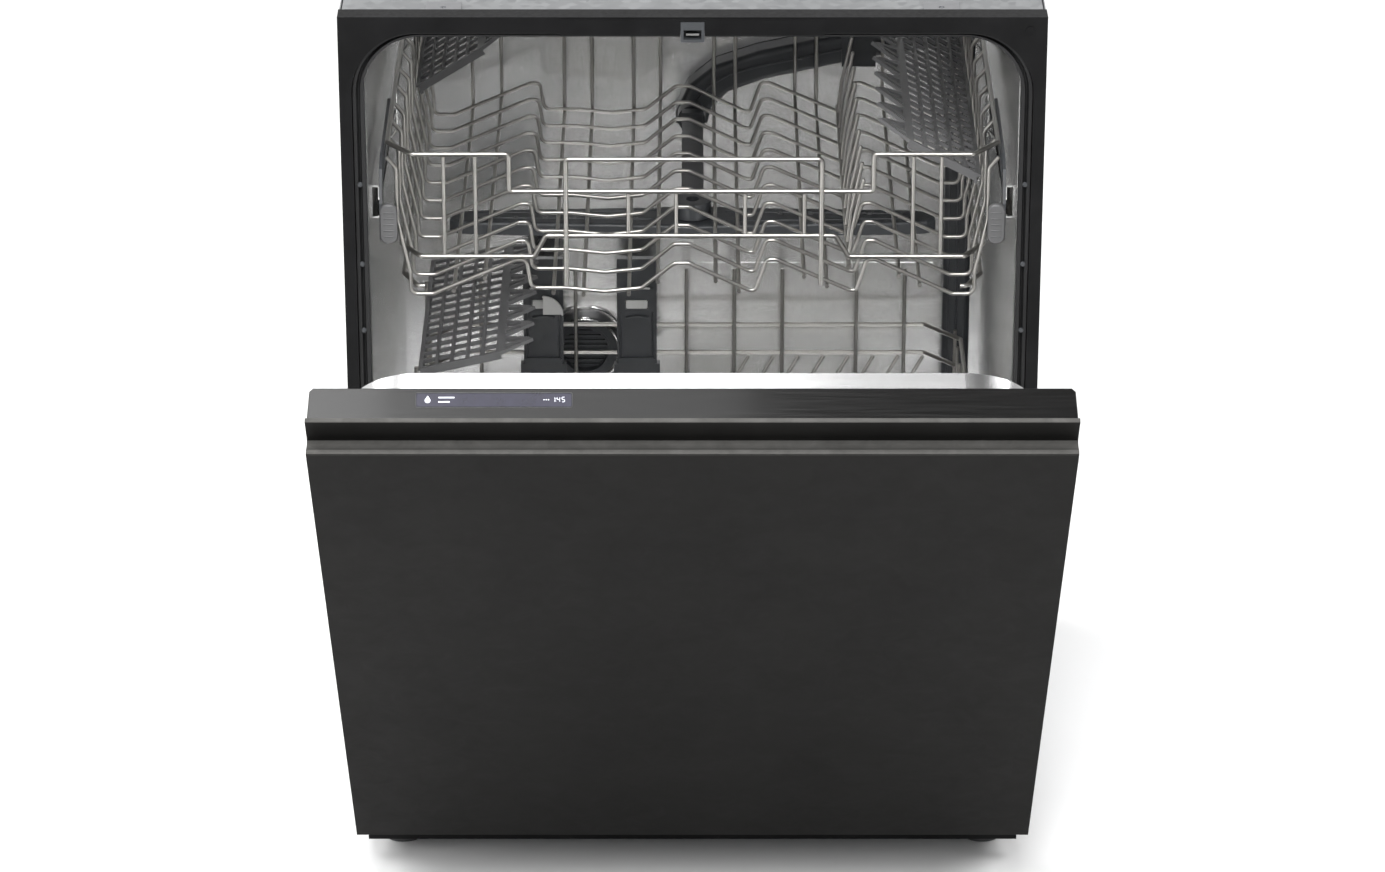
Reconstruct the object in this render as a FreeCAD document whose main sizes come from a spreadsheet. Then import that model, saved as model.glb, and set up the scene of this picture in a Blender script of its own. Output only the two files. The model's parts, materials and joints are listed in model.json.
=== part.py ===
import FreeCAD, Part
import os
import math
import Sketcher
from FreeCAD import Vector, Placement, Rotation

# Built-in dishwasher with its door part open.
# Frame: +X to the viewer's right, +Y towards the back wall, +Z up, millimetres.
# Every piece is drawn with y = 0 on the front plane of the cabinet and the
# door closed; Placement then moves it by front_plane_y and turns the door.

os.makedirs("parts", exist_ok=True)
doc = FreeCAD.newDocument("dishwasher")
sheet = doc.addObject("Spreadsheet::Sheet", "Dimensions")

DIMS = [
    ("front_plane_y", -50.77), ("body_width", 596), ("body_height", 820), ("body_depth", 550),
    ("frame_thick", 1.5), ("frame_return", 16), ("open_half", 287.5), ("open_top", 806), ("open_bottom", 112),
    ("open_radius", 55), ("tub_half", 277), ("tub_top", 801), ("tub_front", 21), ("tub_back", 520), ("tub_wall", 1.2),
    ("tub_radius", 48), ("floor_top", 128), ("base_low", 30), ("base_high", 108),
    ("hinge_front", 20), ("hinge_high", 85), ("door_rest_angle", 37),
    ("door_back", 3), ("door_front", 32), ("door_half", 296), ("door_low", 100), ("panel_low", 772), ("panel_top", 812),
    ("panel_half", 297), ("plug_half", 269.5), ("plug_low", 134), ("plug_top", 796.5), ("plug_deep", 19), ("plug_radius", 58),
    ("sheet_metal", 1.2), ("furniture_front", 52), ("furniture_low", 87.6), ("furniture_lip", 795), ("furniture_top", 816.5),
    ("tongue_thick", 3.7), ("scoop_low", 788), ("scoop_back", 39),
    ("wire_radius", 1.75), ("rim_radius", 2.1), ("thin_wire", 1.5),
    ("basket_front", 33), ("basket_pitch", 43.6), ("basket_wires", 11), ("basket_floor", 561), ("basket_rim", 687),
    ("basket_half", 243), ("basket_outer", 262), ("rear_rim", 650), ("upper_arm_half", 219), ("upper_arm_low", 529),
    ("arm_thick", 12), ("arm_centre", 262), ("upper_arm_centre", 250), ("lower_arm_half", 228), ("lower_arm_low", 150),
    ("lower_floor", 190), ("lower_half", 236), ("lower_outer", 256), ("lower_front", 34), ("lower_back", 490),
    ("lower_rim", 392), ("lower_mid", 332.5), ("lower_low", 303.5), ("wheel_radius", 18), ("wheel_axis", 146.4),
    ("shelf_tilt", 30), ("shelf_thick", 3), ("vent_x", -104), ("vent_z", 298), ("vent_radius", 33.5),
]
for row, (alias, value) in enumerate(DIMS, start=1):
    sheet.set("A%d" % row, alias)
    sheet.set("B%d" % row, str(value))
    sheet.setAlias("B%d" % row, alias)
doc.recompute()


class Size:
    """A number together with the spreadsheet expression it comes from."""

    def __init__(self, value, text):
        self.value = float(value)
        self.text = text

    def _pair(self, other, sign, flip=False):
        o = other if isinstance(other, Size) else Size(other, repr(float(other)))
        a, b = (o, self) if flip else (self, o)
        v = {"+": a.value + b.value, "-": a.value - b.value, "*": a.value * b.value,
             "/": a.value / b.value if b.value else 0.0}[sign]
        return Size(v, "(%s %s %s)" % (a.text, sign, b.text))

    def __add__(self, o): return self._pair(o, "+")
    def __radd__(self, o): return self._pair(o, "+", True)
    def __sub__(self, o): return self._pair(o, "-")
    def __rsub__(self, o): return self._pair(o, "-", True)
    def __mul__(self, o): return self._pair(o, "*")
    def __rmul__(self, o): return self._pair(o, "*", True)
    def __truediv__(self, o): return self._pair(o, "/")
    def __neg__(self): return self._pair(0.0, "-", True)


def S(alias):
    return Size(sheet.get(alias), "Dimensions." + alias)


def num(v):
    return v.value if isinstance(v, Size) else float(v)


def bind(obj, prop, v):
    if isinstance(v, Size):
        obj.setExpression(prop, v.text)


# ---------------------------------------------------------------- pieces kept
SUB = []
ZERO = Placement()


def keep(obj, label, door=False):
    """Name a finished sub-part and put it where it belongs."""
    if obj.TypeId in ("Part::Box", "Part::Cylinder", "Part::Cone"):
        obj = group(obj)
    obj.Label = label
    SUB.append((obj, label, door))
    return obj


# ------------------------------------------------------------ PartDesign help
NORMAL = {"XY": ("XY_Plane", 1), "XZ": ("XZ_Plane", -1), "YZ": ("YZ_Plane", 1)}


def body(name):
    return doc.addObject("PartDesign::Body", name)


def sketch(b, plane, at, loops, name="Outline"):
    """loops: lists of points, or ("circle", x, y, r), or ("round", x0, y0, x1, y1, r)."""
    role, sign = NORMAL[plane]
    sk = b.newObject("Sketcher::SketchObject", name)
    base = [f for f in b.Origin.OriginFeatures if f.Role == role][0]
    sk.AttachmentSupport = [(base, "")]
    sk.MapMode = "FlatFace"
    off = at * sign if isinstance(at, Size) else Size(num(at) * sign, repr(num(at) * sign))
    sk.AttachmentOffset = Placement(Vector(0, 0, off.value), Rotation())
    if isinstance(at, Size):
        sk.setExpression("AttachmentOffset.Base.z", off.text)
    for loop in loops:
        if loop[0] == "circle":
            _, cx, cy, r = loop
            g = sk.addGeometry(Part.Circle(Vector(num(cx), num(cy), 0), Vector(0, 0, 1), num(r)), False)
            for kind, v in (("DistanceX", cx), ("DistanceY", cy)):
                if abs(num(v)) > 1e-9:
                    k = sk.addConstraint(Sketcher.Constraint(kind, -1, 1, g, 3, num(v)))
                    if isinstance(v, Size):
                        sk.setExpression("Constraints[%d]" % k, v.text)
            k = sk.addConstraint(Sketcher.Constraint("Radius", g, num(r)))
            if isinstance(r, Size):
                sk.setExpression("Constraints[%d]" % k, r.text)
            continue
        if loop[0] == "round":
            _, x0, y0, x1, y1, r = loop
            a, c, e, f, q = num(x0), num(y0), num(x1), num(y1), num(r)
            pts = [(a + q, c), (e - q, c), (e, c + q), (e, f - q), (e - q, f), (a + q, f), (a, f - q), (a, c + q)]
            cen = [(e - q, c + q, -90, 0), (e - q, f - q, 0, 90), (a + q, f - q, 90, 180), (a + q, c + q, 180, 270)]
            ids = []
            for i in range(4):
                p0, p1 = pts[2 * i], pts[2 * i + 1]
                ids.append(sk.addGeometry(Part.LineSegment(Vector(p0[0], p0[1], 0), Vector(p1[0], p1[1], 0)), False))
                cx, cy, s0, s1 = cen[i]
                circ = Part.Circle(Vector(cx, cy, 0), Vector(0, 0, 1), q)
                ids.append(sk.addGeometry(Part.ArcOfCircle(circ, math.radians(s0), math.radians(s1)), False))
            for i in range(8):
                n = (i + 1) % 8
                if i % 2 == 0:
                    sk.addConstraint(Sketcher.Constraint("Tangent", ids[i], 2, ids[n], 1))
                else:
                    sk.addConstraint(Sketcher.Constraint("Tangent", ids[i], 2, ids[n], 1))
            sk.addConstraint(Sketcher.Constraint("Horizontal", ids[0]))
            sk.addConstraint(Sketcher.Constraint("Vertical", ids[2]))
            for j in (3, 5, 7):
                sk.addConstraint(Sketcher.Constraint("Equal", ids[1], ids[j]))
            for kind, g, v in (("DistanceY", ids[0], y0), ("DistanceX", ids[2], x1), ("DistanceY", ids[4], y1), ("DistanceX", ids[6], x0)):
                k = sk.addConstraint(Sketcher.Constraint(kind, -1, 1, g, 1, num(v)))
                if isinstance(v, Size):
                    sk.setExpression("Constraints[%d]" % k, v.text)
            k = sk.addConstraint(Sketcher.Constraint("Radius", ids[1], q))
            if isinstance(r, Size):
                sk.setExpression("Constraints[%d]" % k, r.text)
            continue
        first = sk.GeometryCount
        n = len(loop)
        for i in range(n):
            p0, p1 = loop[i], loop[(i + 1) % n]
            sk.addGeometry(Part.LineSegment(Vector(num(p0[0]), num(p0[1]), 0), Vector(num(p1[0]), num(p1[1]), 0)), False)
        for i in range(n):
            sk.addConstraint(Sketcher.Constraint("Coincident", first + i, 2, first + (i + 1) % n, 1))
        for i in range(n):
            for kind, v in (("DistanceX", loop[i][0]), ("DistanceY", loop[i][1])):
                k = sk.addConstraint(Sketcher.Constraint(kind, -1, 1, first + i, 1, num(v)))
                if isinstance(v, Size):
                    sk.setExpression("Constraints[%d]" % k, v.text)
    return sk


def pad(b, plane, lo, hi, loops, name="Pad"):
    sk = sketch(b, plane, lo, loops)
    f = b.newObject("PartDesign::Pad", name)
    f.Profile = sk
    length = hi - lo
    f.Length = num(length)
    bind(f, "Length", length)
    f.Reversed = (plane == "XZ")
    return f


def pocket(b, plane, lo, hi, loops, name="Pocket"):
    """Removes material between lo and hi along the plane's own axis."""
    sk = sketch(b, plane, lo, loops)
    f = b.newObject("PartDesign::Pocket", name)
    f.Profile = sk
    length = hi - lo
    f.Length = num(length)
    bind(f, "Length", length)
    f.Reversed = (plane != "XZ")
    before = [o for o in b.Group if o.isDerivedFrom("PartDesign::Feature") and o is not f]
    doc.recompute()
    if before and f.Shape.Volume >= before[-1].Shape.Volume - 1e-6:
        raise RuntimeError("pocket cuts nothing: " + b.Name + "/" + name)
    return f


def soften(b, radius, pick, chamfer=False):
    """Fillets or chamfers the edges of the body's tip for which pick(edge) is true."""
    doc.recompute()
    tip = b.Tip
    names = ["Edge%d" % (i + 1) for i, e in enumerate(tip.Shape.Edges) if pick(e)]
    if not names:
        raise RuntimeError("no edge to soften on " + b.Name)
    f = b.newObject("PartDesign::Chamfer" if chamfer else "PartDesign::Fillet", "Chamfer" if chamfer else "Fillet")
    f.Base = (tip, names)
    if chamfer:
        f.Size = num(radius)
        bind(f, "Size", radius)
    else:
        f.Radius = num(radius)
        bind(f, "Radius", radius)
    return f


def along(axis, **where):
    """Edge filter: straight edges along an axis whose midpoint lies in the given ranges."""
    def test(e):
        if len(e.Vertexes) != 2 or e.Curve.TypeId != "Part::GeomLine":
            return False
        d = e.Vertexes[1].Point - e.Vertexes[0].Point
        if d.Length < 1e-6:
            return False
        d.normalize()
        if abs(getattr(d, axis)) < 0.999:
            return False
        m = e.CenterOfMass
        for key, (lo, hi) in where.items():
            if not lo <= getattr(m, key) <= hi:
                return False
        return True
    return test


def rect(x0, y0, x1, y1):
    return [(x0, y0), (x1, y0), (x1, y1), (x0, y1)]


# ------------------------------------------------------------- Part primitives
COUNT = [0]


def fresh(stem):
    COUNT[0] += 1
    return "%s_%d" % (stem, COUNT[0])


def box(x0, x1, y0, y1, z0, z1):
    o = doc.addObject("Part::Box", fresh("Block"))
    for prop, a, c in (("Length", x0, x1), ("Width", y0, y1), ("Height", z0, z1)):
        v = c - a
        setattr(o, prop, num(v))
        bind(o, prop, v)
    o.Placement = Placement(Vector(num(x0), num(y0), num(z0)), Rotation())
    for prop, v in (("x", x0), ("y", y0), ("z", z0)):
        bind(o, "Placement.Base." + prop, v)
    return o


TURN = {"x": Rotation(Vector(0, 1, 0), 90), "y": Rotation(Vector(1, 0, 0), -90), "z": Rotation()}


def cyl(axis, x, y, z, r, length):
    """Cylinder from (x, y, z) along +axis."""
    o = doc.addObject("Part::Cylinder", fresh("Round"))
    o.Radius = num(r)
    bind(o, "Radius", r)
    o.Height = num(length)
    bind(o, "Height", length)
    o.Placement = Placement(Vector(num(x), num(y), num(z)), TURN[axis])
    for prop, v in (("x", x), ("y", y), ("z", z)):
        bind(o, "Placement.Base." + prop, v)
    return o


def cone(axis, x, y, z, r0, r1, length):
    o = doc.addObject("Part::Cone", fresh("Taper"))
    o.Radius1, o.Radius2, o.Height = num(r0), num(r1), num(length)
    bind(o, "Radius1", r0)
    bind(o, "Radius2", r1)
    bind(o, "Height", length)
    o.Placement = Placement(Vector(num(x), num(y), num(z)), TURN[axis])
    for prop, v in (("x", x), ("y", y), ("z", z)):
        bind(o, "Placement.Base." + prop, v)
    return o


def torus(axis, x, y, z, big, small):
    o = doc.addObject("Part::Torus", fresh("Ring"))
    o.Radius1, o.Radius2 = num(big), num(small)
    o.Placement = Placement(Vector(num(x), num(y), num(z)), TURN[axis])
    return o


def fuse(*objs):
    o = doc.addObject("Part::MultiFuse", fresh("Joined"))
    o.Shapes = list(objs)
    o.Refine = True
    return o


def cut(a, *tools):
    tool = tools[0] if len(tools) == 1 else fuse(*tools)
    o = doc.addObject("Part::Cut", fresh("Cut"))
    o.Base, o.Tool = a, tool
    o.Refine = True
    return o


def group(*objs):
    """Identical or matching separate solids that share one node."""
    o = doc.addObject("Part::Compound", fresh("Set"))
    o.Links = list(objs)
    return o


def shape_object(label, shape, door=False):
    o = doc.addObject("Part::Feature", fresh("Shape"))
    o.Shape = shape
    return keep(o, label, door)


# ------------------------------------------------------------------ bent wire
def wire_path(points, bend):
    """Straight runs joined by tangent arcs."""
    pts = [Vector(*p) for p in points]
    edges = []
    last = pts[0]
    for i in range(1, len(pts) - 1):
        a = pts[i - 1] - pts[i]
        c = pts[i + 1] - pts[i]
        la, lc = a.Length, c.Length
        a.normalize()
        c.normalize()
        ang = a.getAngle(c)
        if ang > math.pi - 1e-3:
            continue
        q = bend / math.tan(ang / 2)
        q = min(q, 0.47 * la, 0.47 * lc)
        r = q * math.tan(ang / 2)
        p0 = pts[i] + a * q
        p1 = pts[i] + c * q
        mid_dir = a + c
        mid_dir.normalize()
        centre = pts[i] + mid_dir * (r / math.sin(ang / 2))
        pm = centre - mid_dir * r
        if (p0 - last).Length > 1e-6:
            edges.append(Part.LineSegment(last, p0).toShape())
        edges.append(Part.Arc(p0, pm, p1).toShape())
        last = p1
    if (pts[-1] - last).Length > 1e-6:
        edges.append(Part.LineSegment(last, pts[-1]).toShape())
    return Part.Wire(edges)


def rod(points, radius, bend=6.0):
    """Round wire of one radius along a bent path."""
    path = wire_path(points, bend)
    start = Vector(*points[0])
    d = Vector(*points[1]) - start
    d.normalize()
    ring = Part.Wire([Part.Circle(start, d, radius).toShape()])
    s = path.makePipeShell([ring], True, True)
    solid = s.Solids[0] if s.Solids else Part.Solid(s)
    if solid.Volume < 0:
        solid.reverse()
    return solid


def chain(points, radius, bend=6.0):
    """The same wire cut beside its bends: straight runs and corner pieces that butt together."""
    pts = [Vector(*p) for p in points]
    out = []
    last = pts[0]
    for i in range(1, len(pts) - 1):
        a = pts[i - 1] - pts[i]
        c = pts[i + 1] - pts[i]
        la, lc = a.Length, c.Length
        a.normalize()
        c.normalize()
        q = min(bend / math.tan(a.getAngle(c) / 2) + 0.6, 0.47 * la, 0.47 * lc)
        p0, p1 = pts[i] + a * q, pts[i] + c * q
        out.append(rod([last, p0], radius))
        out.append(rod([p0, pts[i], p1], radius, bend))
        last = p1
    out.append(rod([last, pts[-1]], radius))
    return out


# =============================================================== CABINET BODY
W2 = S("body_width") / 2
H = S("body_height")
D = S("body_depth")
FT = S("frame_thick")
OH, OT, OB, OR_ = S("open_half"), S("open_top"), S("open_bottom"), S("open_radius")
FR = S("frame_return")
TH, TT, TF, TB, TW, TR = S("tub_half"), S("tub_top"), S("tub_front"), S("tub_back"), S("tub_wall"), S("tub_radius")
FL = S("floor_top")

# Front frame: face plate with the loading opening, outer flange and inner return.
b = body("FrontFrame")
pad(b, "XZ", Size(0, "0"), S("frame_return") + 4, [rect(-W2, Size(60, "60"), W2, H)])
pocket(b, "XZ", Size(-1, "-1"), FR + 6, [("round", -OH, OB, OH, OT, OR_)])
pocket(b, "XZ", FT, FR + 6, [rect(-W2 + FT, Size(61.5, "61.5"), W2 - FT, H - FT),
                             ("round", -OH - FT, OB - FT, OH + FT, OT + FT, OR_ + FT)])
pocket(b, "XZ", Size(-1, "-1"), FR + 6, [rect(Size(-283.4, "-283.4"), Size(75.6, "75.6"), Size(-278.6, "-278.6"), Size(97.4, "97.4")),
                                        rect(Size(278.6, "278.6"), Size(75.6, "75.6"), Size(283.4, "283.4"), Size(97.4, "97.4"))])
pocket(b, "XZ", Size(-1, "-1"), FR + 6, [rect(Size(-10.2, "-10.2"), OT - 3, Size(10.2, "10.2"), Size(816.4, "816.4"))])
frame_body = b

# Reinforcing plate behind the latch, and the catch itself.
latch_plate = cut(box(Size(-111, "-111"), Size(111, "111"), Size(-0.9, "-0.9"), Size(0, "0"), OT - 1.6, H - 1.5),
                  box(Size(-10.2, "-10.2"), Size(10.2, "10.2"), Size(-2, "-2"), Size(2, "2"), OT - 10, Size(816.4, "816.4")))
cap_x, cap_z = W2 - 14.5, H - 11.5
frame_cap = cyl("y", cap_x, Size(-0.8, "-0.8"), cap_z, Size(3.6, "3.6"), Size(0.75, "0.75"))
keep(group(frame_body, latch_plate, frame_cap), "front_frame")
catch = cut(box(Size(-10, "-10"), Size(10, "10"), Size(-1.6, "-1.6"), Size(18, "18"), OT - 7.8, Size(816, "816")),
            box(Size(-7.5, "-7.5"), Size(7.5, "7.5"), Size(-3, "-3"), Size(13, "13"), OT - 5.5, Size(809, "809")))
catch_hook = box(Size(-5.5, "-5.5"), Size(5.5, "5.5"), Size(0.4, "0.4"), Size(13, "13"), OT - 2.4, Size(805.4, "805.4"))
keep(catch, "latch_catch")
keep(catch_hook, "latch_striker")

# Tub: bent wrapper (two sides and ceiling), back wall with pressed channels, floor pan.
b = body("TubWrapper")
ww = TW
low = FL + 0


pad(b, "XZ", TF, TB + 0, [("round", -TH - ww, low - 100, TH + ww, TT + ww, TR + ww)])
pocket(b, "XZ", TF - 1, TB + 1, [("round", -TH, low - 99, TH, TT, TR)])
pocket(b, "XZ", TF - 1, TB + 1, [rect(-TH - 5, low - 101, TH + 5, low)])
wrapper = b

# Pressed flange that joins the tub to the front frame.
b = body("TubFlange")
pad(b, "XZ", TF - 1.2, TF + 0, [("round", -OH + 0.5, FL - 14, OH - 0.5, OT - 0.5, OR_ - 0.5),
                                ("round", -TH, FL + 2, TH, TT, TR)])
keep(fuse(wrapper, b), "tub_wrapper")

# Back wall with upright and crossing channels pressed 1.6 mm into the tub.
VX, VZ, VR = S("vent_x"), S("vent_z"), S("vent_radius")
b = body("TubBackWall")
pad(b, "XZ", TB + 0, TB + 1.2, [("round", -TH - ww, FL - 40, TH + ww, TT + ww, TR + ww)])
pocket(b, "XZ", TB - 1, TB + 3, [rect(-TH - 5, FL - 41, TH + 5, FL)])
for k, (x0, x1, z0, z1) in enumerate([(VX - 6, VX - 2.5, VZ + 36, TT - 22), (VX + 2.5, VX + 6, VZ + 36, TT - 22),
                                      (Size(-3, "-3"), Size(3, "3"), FL + 30, TT - 22),
                                      (Size(107, "107"), Size(110, "110"), FL + 30, TT - 22),
                                      (Size(114, "114"), Size(117, "117"), FL + 30, TT - 22),
                                      (-TH + 52, VX - 14, Size(380, "380"), Size(384.5, "384.5")),
                                      (Size(10, "10"), Size(100, "100"), Size(380, "380"), Size(384.5, "384.5")),
                                      (Size(124, "124"), TH - 46, Size(380, "380"), Size(384.5, "384.5"))]):
    pad(b, "XZ", TB - 1.2, TB + 0, [rect(x0, z0, x1, z1)], "Channel%d" % k)
pocket(b, "XZ", TB - 3, TB + 3, [("circle", VX, VZ, VR + 0.1)])
keep(b, "tub_back_wall")

# Floor pan with the sump opening, side ledges for the wheels and a front sill.
b = body("TubFloor")
pad(b, "XY", FL - 1.2, FL + 0, [rect(-TH - ww, TF, TH + ww, TB + 1.2)])
pocket(b, "XY", FL - 3, FL + 2, [("circle", Size(0, "0"), S("arm_centre"), Size(78, "78")),
                                 ("circle", Size(-170, "-170"), Size(395, "395"), Size(31, "31"))])
pad(b, "XZ", TF + 0, TF + 1.2, [rect(-TH - ww, FL - 16, TH + ww, FL - 0.6)], "Sill")
keep(b, "tub_floor")

# Door seal: rubber channel round the sides and top of the opening.
b = body("DoorSeal")
pad(b, "XZ", Size(4, "4"), TF - 1.2, [("round", -OH + 0.6, FL - 13, OH - 0.6, OT - 0.6, OR_ - 0.6),
                                       ("round", -TH - 0.4, FL + 1, TH + 0.4, TT + 0.4, TR + 0.4)])
pocket(b, "XZ", Size(3, "3"), Size(12, "12"), [("round", -OH + 3.4, FL - 10, OH - 3.4, OT - 2.2, OR_ - 3.4),
                                                ("round", -TH - 3.6, FL - 2, TH + 3.6, TT + 2.0, TR + 3.6)])
pocket(b, "XZ", Size(3, "3"), Size(18.2, "18.2"), [rect(Size(-10.4, "-10.4"), OT - 8.2, Size(10.4, "10.4"), OT + 1)])
keep(b, "door_seal")

# Vent in the back wall: ring, slotted grille, bright trim.
ring = cut(cyl("y", VX, TB - 13, VZ, VR, Size(15, "15")), cyl("y", VX, TB - 14, VZ, VR - 11, Size(20, "20")))
grille_parts = [box(VX - 24, VX + 24, TB - 6, TB - 3, VZ - 19.5 + 5 * k, VZ - 17.2 + 5 * k) for k in range(8)]
disc = doc.addObject("Part::Common", "GrilleTrim")
disc.Base = fuse(*(grille_parts + [box(VX - 24, VX + 24, TB - 3.2, TB - 1, VZ - 24, VZ + 24)]))
disc.Tool = cyl("y", VX, TB - 7, VZ, VR - 11.2, Size(7, "7"))
keep(fuse(ring, disc), "vent_grille")

# Moulded water duct on the back wall: right column, sloping run, outlet elbow.
b = body("WaterDuct")
DP0, DP1 = TB - 27, TB - 1.4
pad(b, "XZ", DP0, DP1, [[(Size(240, "240"), FL + 3), (Size(266, "266"), FL + 3), (Size(266, "266"), Size(612, "612")),
                         (Size(254, "254"), Size(636, "636")), (Size(228, "228"), Size(644, "644")), (Size(160, "160"), Size(630, "630")),
                         (Size(60, "60"), Size(608, "608")), (Size(20, "20"), Size(594, "594")), (Size(-4, "-4"), Size(574, "574")),
                         (Size(-16, "-16"), Size(548, "548")), (Size(-16, "-16"), Size(536, "536")), (Size(14, "14"), Size(536, "536")),
                         (Size(18, "18"), Size(552, "552")), (Size(34, "34"), Size(568, "568")), (Size(66, "66"), Size(580, "580")),
                         (Size(164, "164"), Size(602, "602")), (Size(222, "222"), Size(612, "612")), (Size(236, "236"), Size(606, "606")),
                         (Size(240, "240"), Size(594, "594"))]])
soften(b, Size(6, "6"), lambda e: all(abs(v.Point.y - num(DP0)) < 1e-3 for v in e.Vertexes))
duct = b
outlet = cut(cyl("y", Size(-1, "-1"), TB - 44, Size(548, "548"), Size(13, "13"), Size(17, "17")),
             cyl("y", Size(-1, "-1"), TB - 45, Size(548, "548"), Size(10, "10"), Size(12, "12")))
flange = box(Size(140, "140"), Size(172, "172"), TB - 31, TB - 27.2, Size(596, "596"), Size(640, "640"))
keep(fuse(duct, outlet, flange), "water_duct")

# Side panels and rear panel.
BL, BH = S("base_low"), S("base_high")
casing = []
for s in (-1, 1):
    lo, hi = (-W2, -W2 + 1) if s < 0 else (W2 - 1, W2)
    casing.append(box(lo, hi, FR + 4.2, D - 1.2, Size(62, "62"), H - 2))
    casing.append(box(-W2 + 1 if s < 0 else W2 - 12, -W2 + 12 if s < 0 else W2 - 1, D - 2.4, D - 1.2, BH + 0.4, H - 3.4))
rear = cut(box(-W2 + 2, W2 - 2, D - 1.1, D, Size(112, "112"), H - 2),
           box(Size(-60, "-60"), Size(60, "60"), D - 4, D + 3, Size(700, "700"), Size(720, "720")))
casing.append(box(-W2 + 1.2, W2 - 1.2, Size(46, "46"), D - 1.4, H - 3.4, H - 2.4))
keep(group(*(casing + [rear])), "casing_panels")

# Base carrier: open plastic tray on four screw feet.
tray_back = cut(box(-W2 + 5, W2 - 5, D - 4.2, D - 1.2, BL + 3, BH), cyl("y", Size(215, "215"), D - 8, Size(74, "74"), Size(20, "20"), Size(12, "12")),
                cyl("y", Size(-215, "-215"), D - 8, Size(74, "74"), Size(17, "17"), Size(12, "12")),
                cyl("y", Size(150, "150"), D - 8, Size(74, "74"), Size(8.2, "8.2"), Size(12, "12")))
keep(group(box(-W2 + 2, W2 - 2, Size(48, "48"), D - 1.2, BL, BL + 3), box(-W2 + 2, -W2 + 5, Size(48, "48"), D - 1.2, BL + 3, BH),
           box(W2 - 5, W2 - 2, Size(48, "48"), D - 1.2, BL + 3, BH), box(-W2 + 5, W2 - 5, Size(48, "48"), Size(51, "51"), BL + 3, BH), tray_back), "base_tray")
keep(box(-W2 + 4, W2 - 4, Size(44.6, "44.6"), Size(47.8, "47.8"), Size(14, "14"), Size(84, "84")), "plinth_plate")


def foot(x, y):
    return fuse(cyl("z", x, y, Size(0, "0"), Size(19, "19"), Size(7, "7")), cone("z", x, y, Size(7, "7"), Size(19, "19"), Size(9, "9"), Size(5, "5")),
                cyl("z", x, y, Size(12, "12"), Size(5, "5"), Size(17.9, "17.9")))


keep(group(foot(-W2 + 34, Size(84, "84")), foot(W2 - 34, Size(84, "84")), foot(-W2 + 34, D - 46), foot(W2 - 34, D - 46)), "screw_feet")

# Sump and machinery under the tub.
AC = S("arm_centre")
sump = cut(fuse(cone("z", Size(0, "0"), AC, Size(62, "62"), Size(54, "54"), Size(77.6, "77.6"), FL - 1.4 - 62),
                cyl("z", Size(0, "0"), AC, Size(52, "52"), Size(54, "54"), Size(10, "10"))),
           cone("z", Size(0, "0"), AC, Size(64.5, "64.5"), Size(51, "51"), Size(75, "75"), FL - 60))
keep(sump, "sump_bowl")
CX, CY = Size(29, "29"), AC - 21.5
plate = cut(cyl("z", Size(0, "0"), AC, FL - 3.4, Size(72, "72"), Size(2, "2")), cyl("z", CX, CY, FL - 8, Size(20.8, "20.8"), Size(12, "12")),
            cyl("z", Size(0, "0"), AC, FL - 8, Size(8.4, "8.4"), Size(12, "12")))
keep(plate, "filter_plate")
cup = fuse(cut(fuse(cyl("z", CX, CY, Size(86, "86"), Size(20, "20"), FL - 86), cyl("z", CX, CY, FL - 1.2, Size(26, "26"), Size(3.2, "3.2"))),
               cyl("z", CX, CY, Size(89, "89"), Size(17.5, "17.5"), FL - 80)),
           box(CX - 2.5, CX + 2.5, CY - 18, CY + 18, FL + 1, FL + 13))
keep(cup, "filter_cup")
hub = fuse(cyl("z", Size(0, "0"), AC, Size(65, "65"), Size(7.8, "7.8"), Size(99, "99")), cyl("z", Size(0, "0"), AC, Size(134, "134"), Size(17, "17"), Size(14, "14")))
keep(hub, "lower_arm_hub")
pump = fuse(cyl("x", Size(92, "92"), Size(250, "250"), Size(76, "76"), Size(38, "38"), Size(86, "86")), cyl("x", Size(178, "178"), Size(250, "250"), Size(76, "76"), Size(27, "27"), Size(48, "48")),
            cyl("x", Size(70, "70"), Size(250, "250"), Size(76, "76"), Size(15, "15"), Size(26, "26")))
keep(pump, "circulation_pump")
dpump = fuse(cyl("x", Size(-150, "-150"), Size(250, "250"), Size(70, "70"), Size(26, "26"), Size(50, "50")), cyl("x", Size(-102, "-102"), Size(250, "250"), Size(70, "70"), Size(12, "12"), Size(26, "26")))
keep(dpump, "drain_pump")
soft = cut(fuse(box(Size(-250, "-250"), Size(-90, "-90"), Size(330, "330"), Size(480, "480"), Size(34, "34"), Size(112, "112")),
                cyl("z", Size(-170, "-170"), Size(395, "395"), Size(110, "110"), Size(30.4, "30.4"), Size(19, "19"))),
           cyl("z", Size(-170, "-170"), Size(395, "395"), Size(60, "60"), Size(24.5, "24.5"), Size(90, "90")))
keep(soft, "water_softener")
cap = fuse(cyl("z", Size(-170, "-170"), Size(395, "395"), Size(129.4, "129.4"), Size(30, "30"), Size(7, "7")),
           box(Size(-192, "-192"), Size(-148, "-148"), Size(391, "391"), Size(399, "399"), Size(136, "136"), Size(142, "142")),
           cyl("z", Size(-170, "-170"), Size(395, "395"), Size(112, "112"), Size(24.2, "24.2"), Size(18, "18")))
keep(cap, "salt_cap")
valve = fuse(box(Size(190, "190"), Size(240, "240"), D - 60, D - 4.6, Size(56, "56"), Size(92, "92")), cyl("y", Size(215, "215"), D - 6, Size(74, "74"), Size(13.2, "13.2"), Size(20, "20")))
keep(valve, "inlet_valve")
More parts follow.
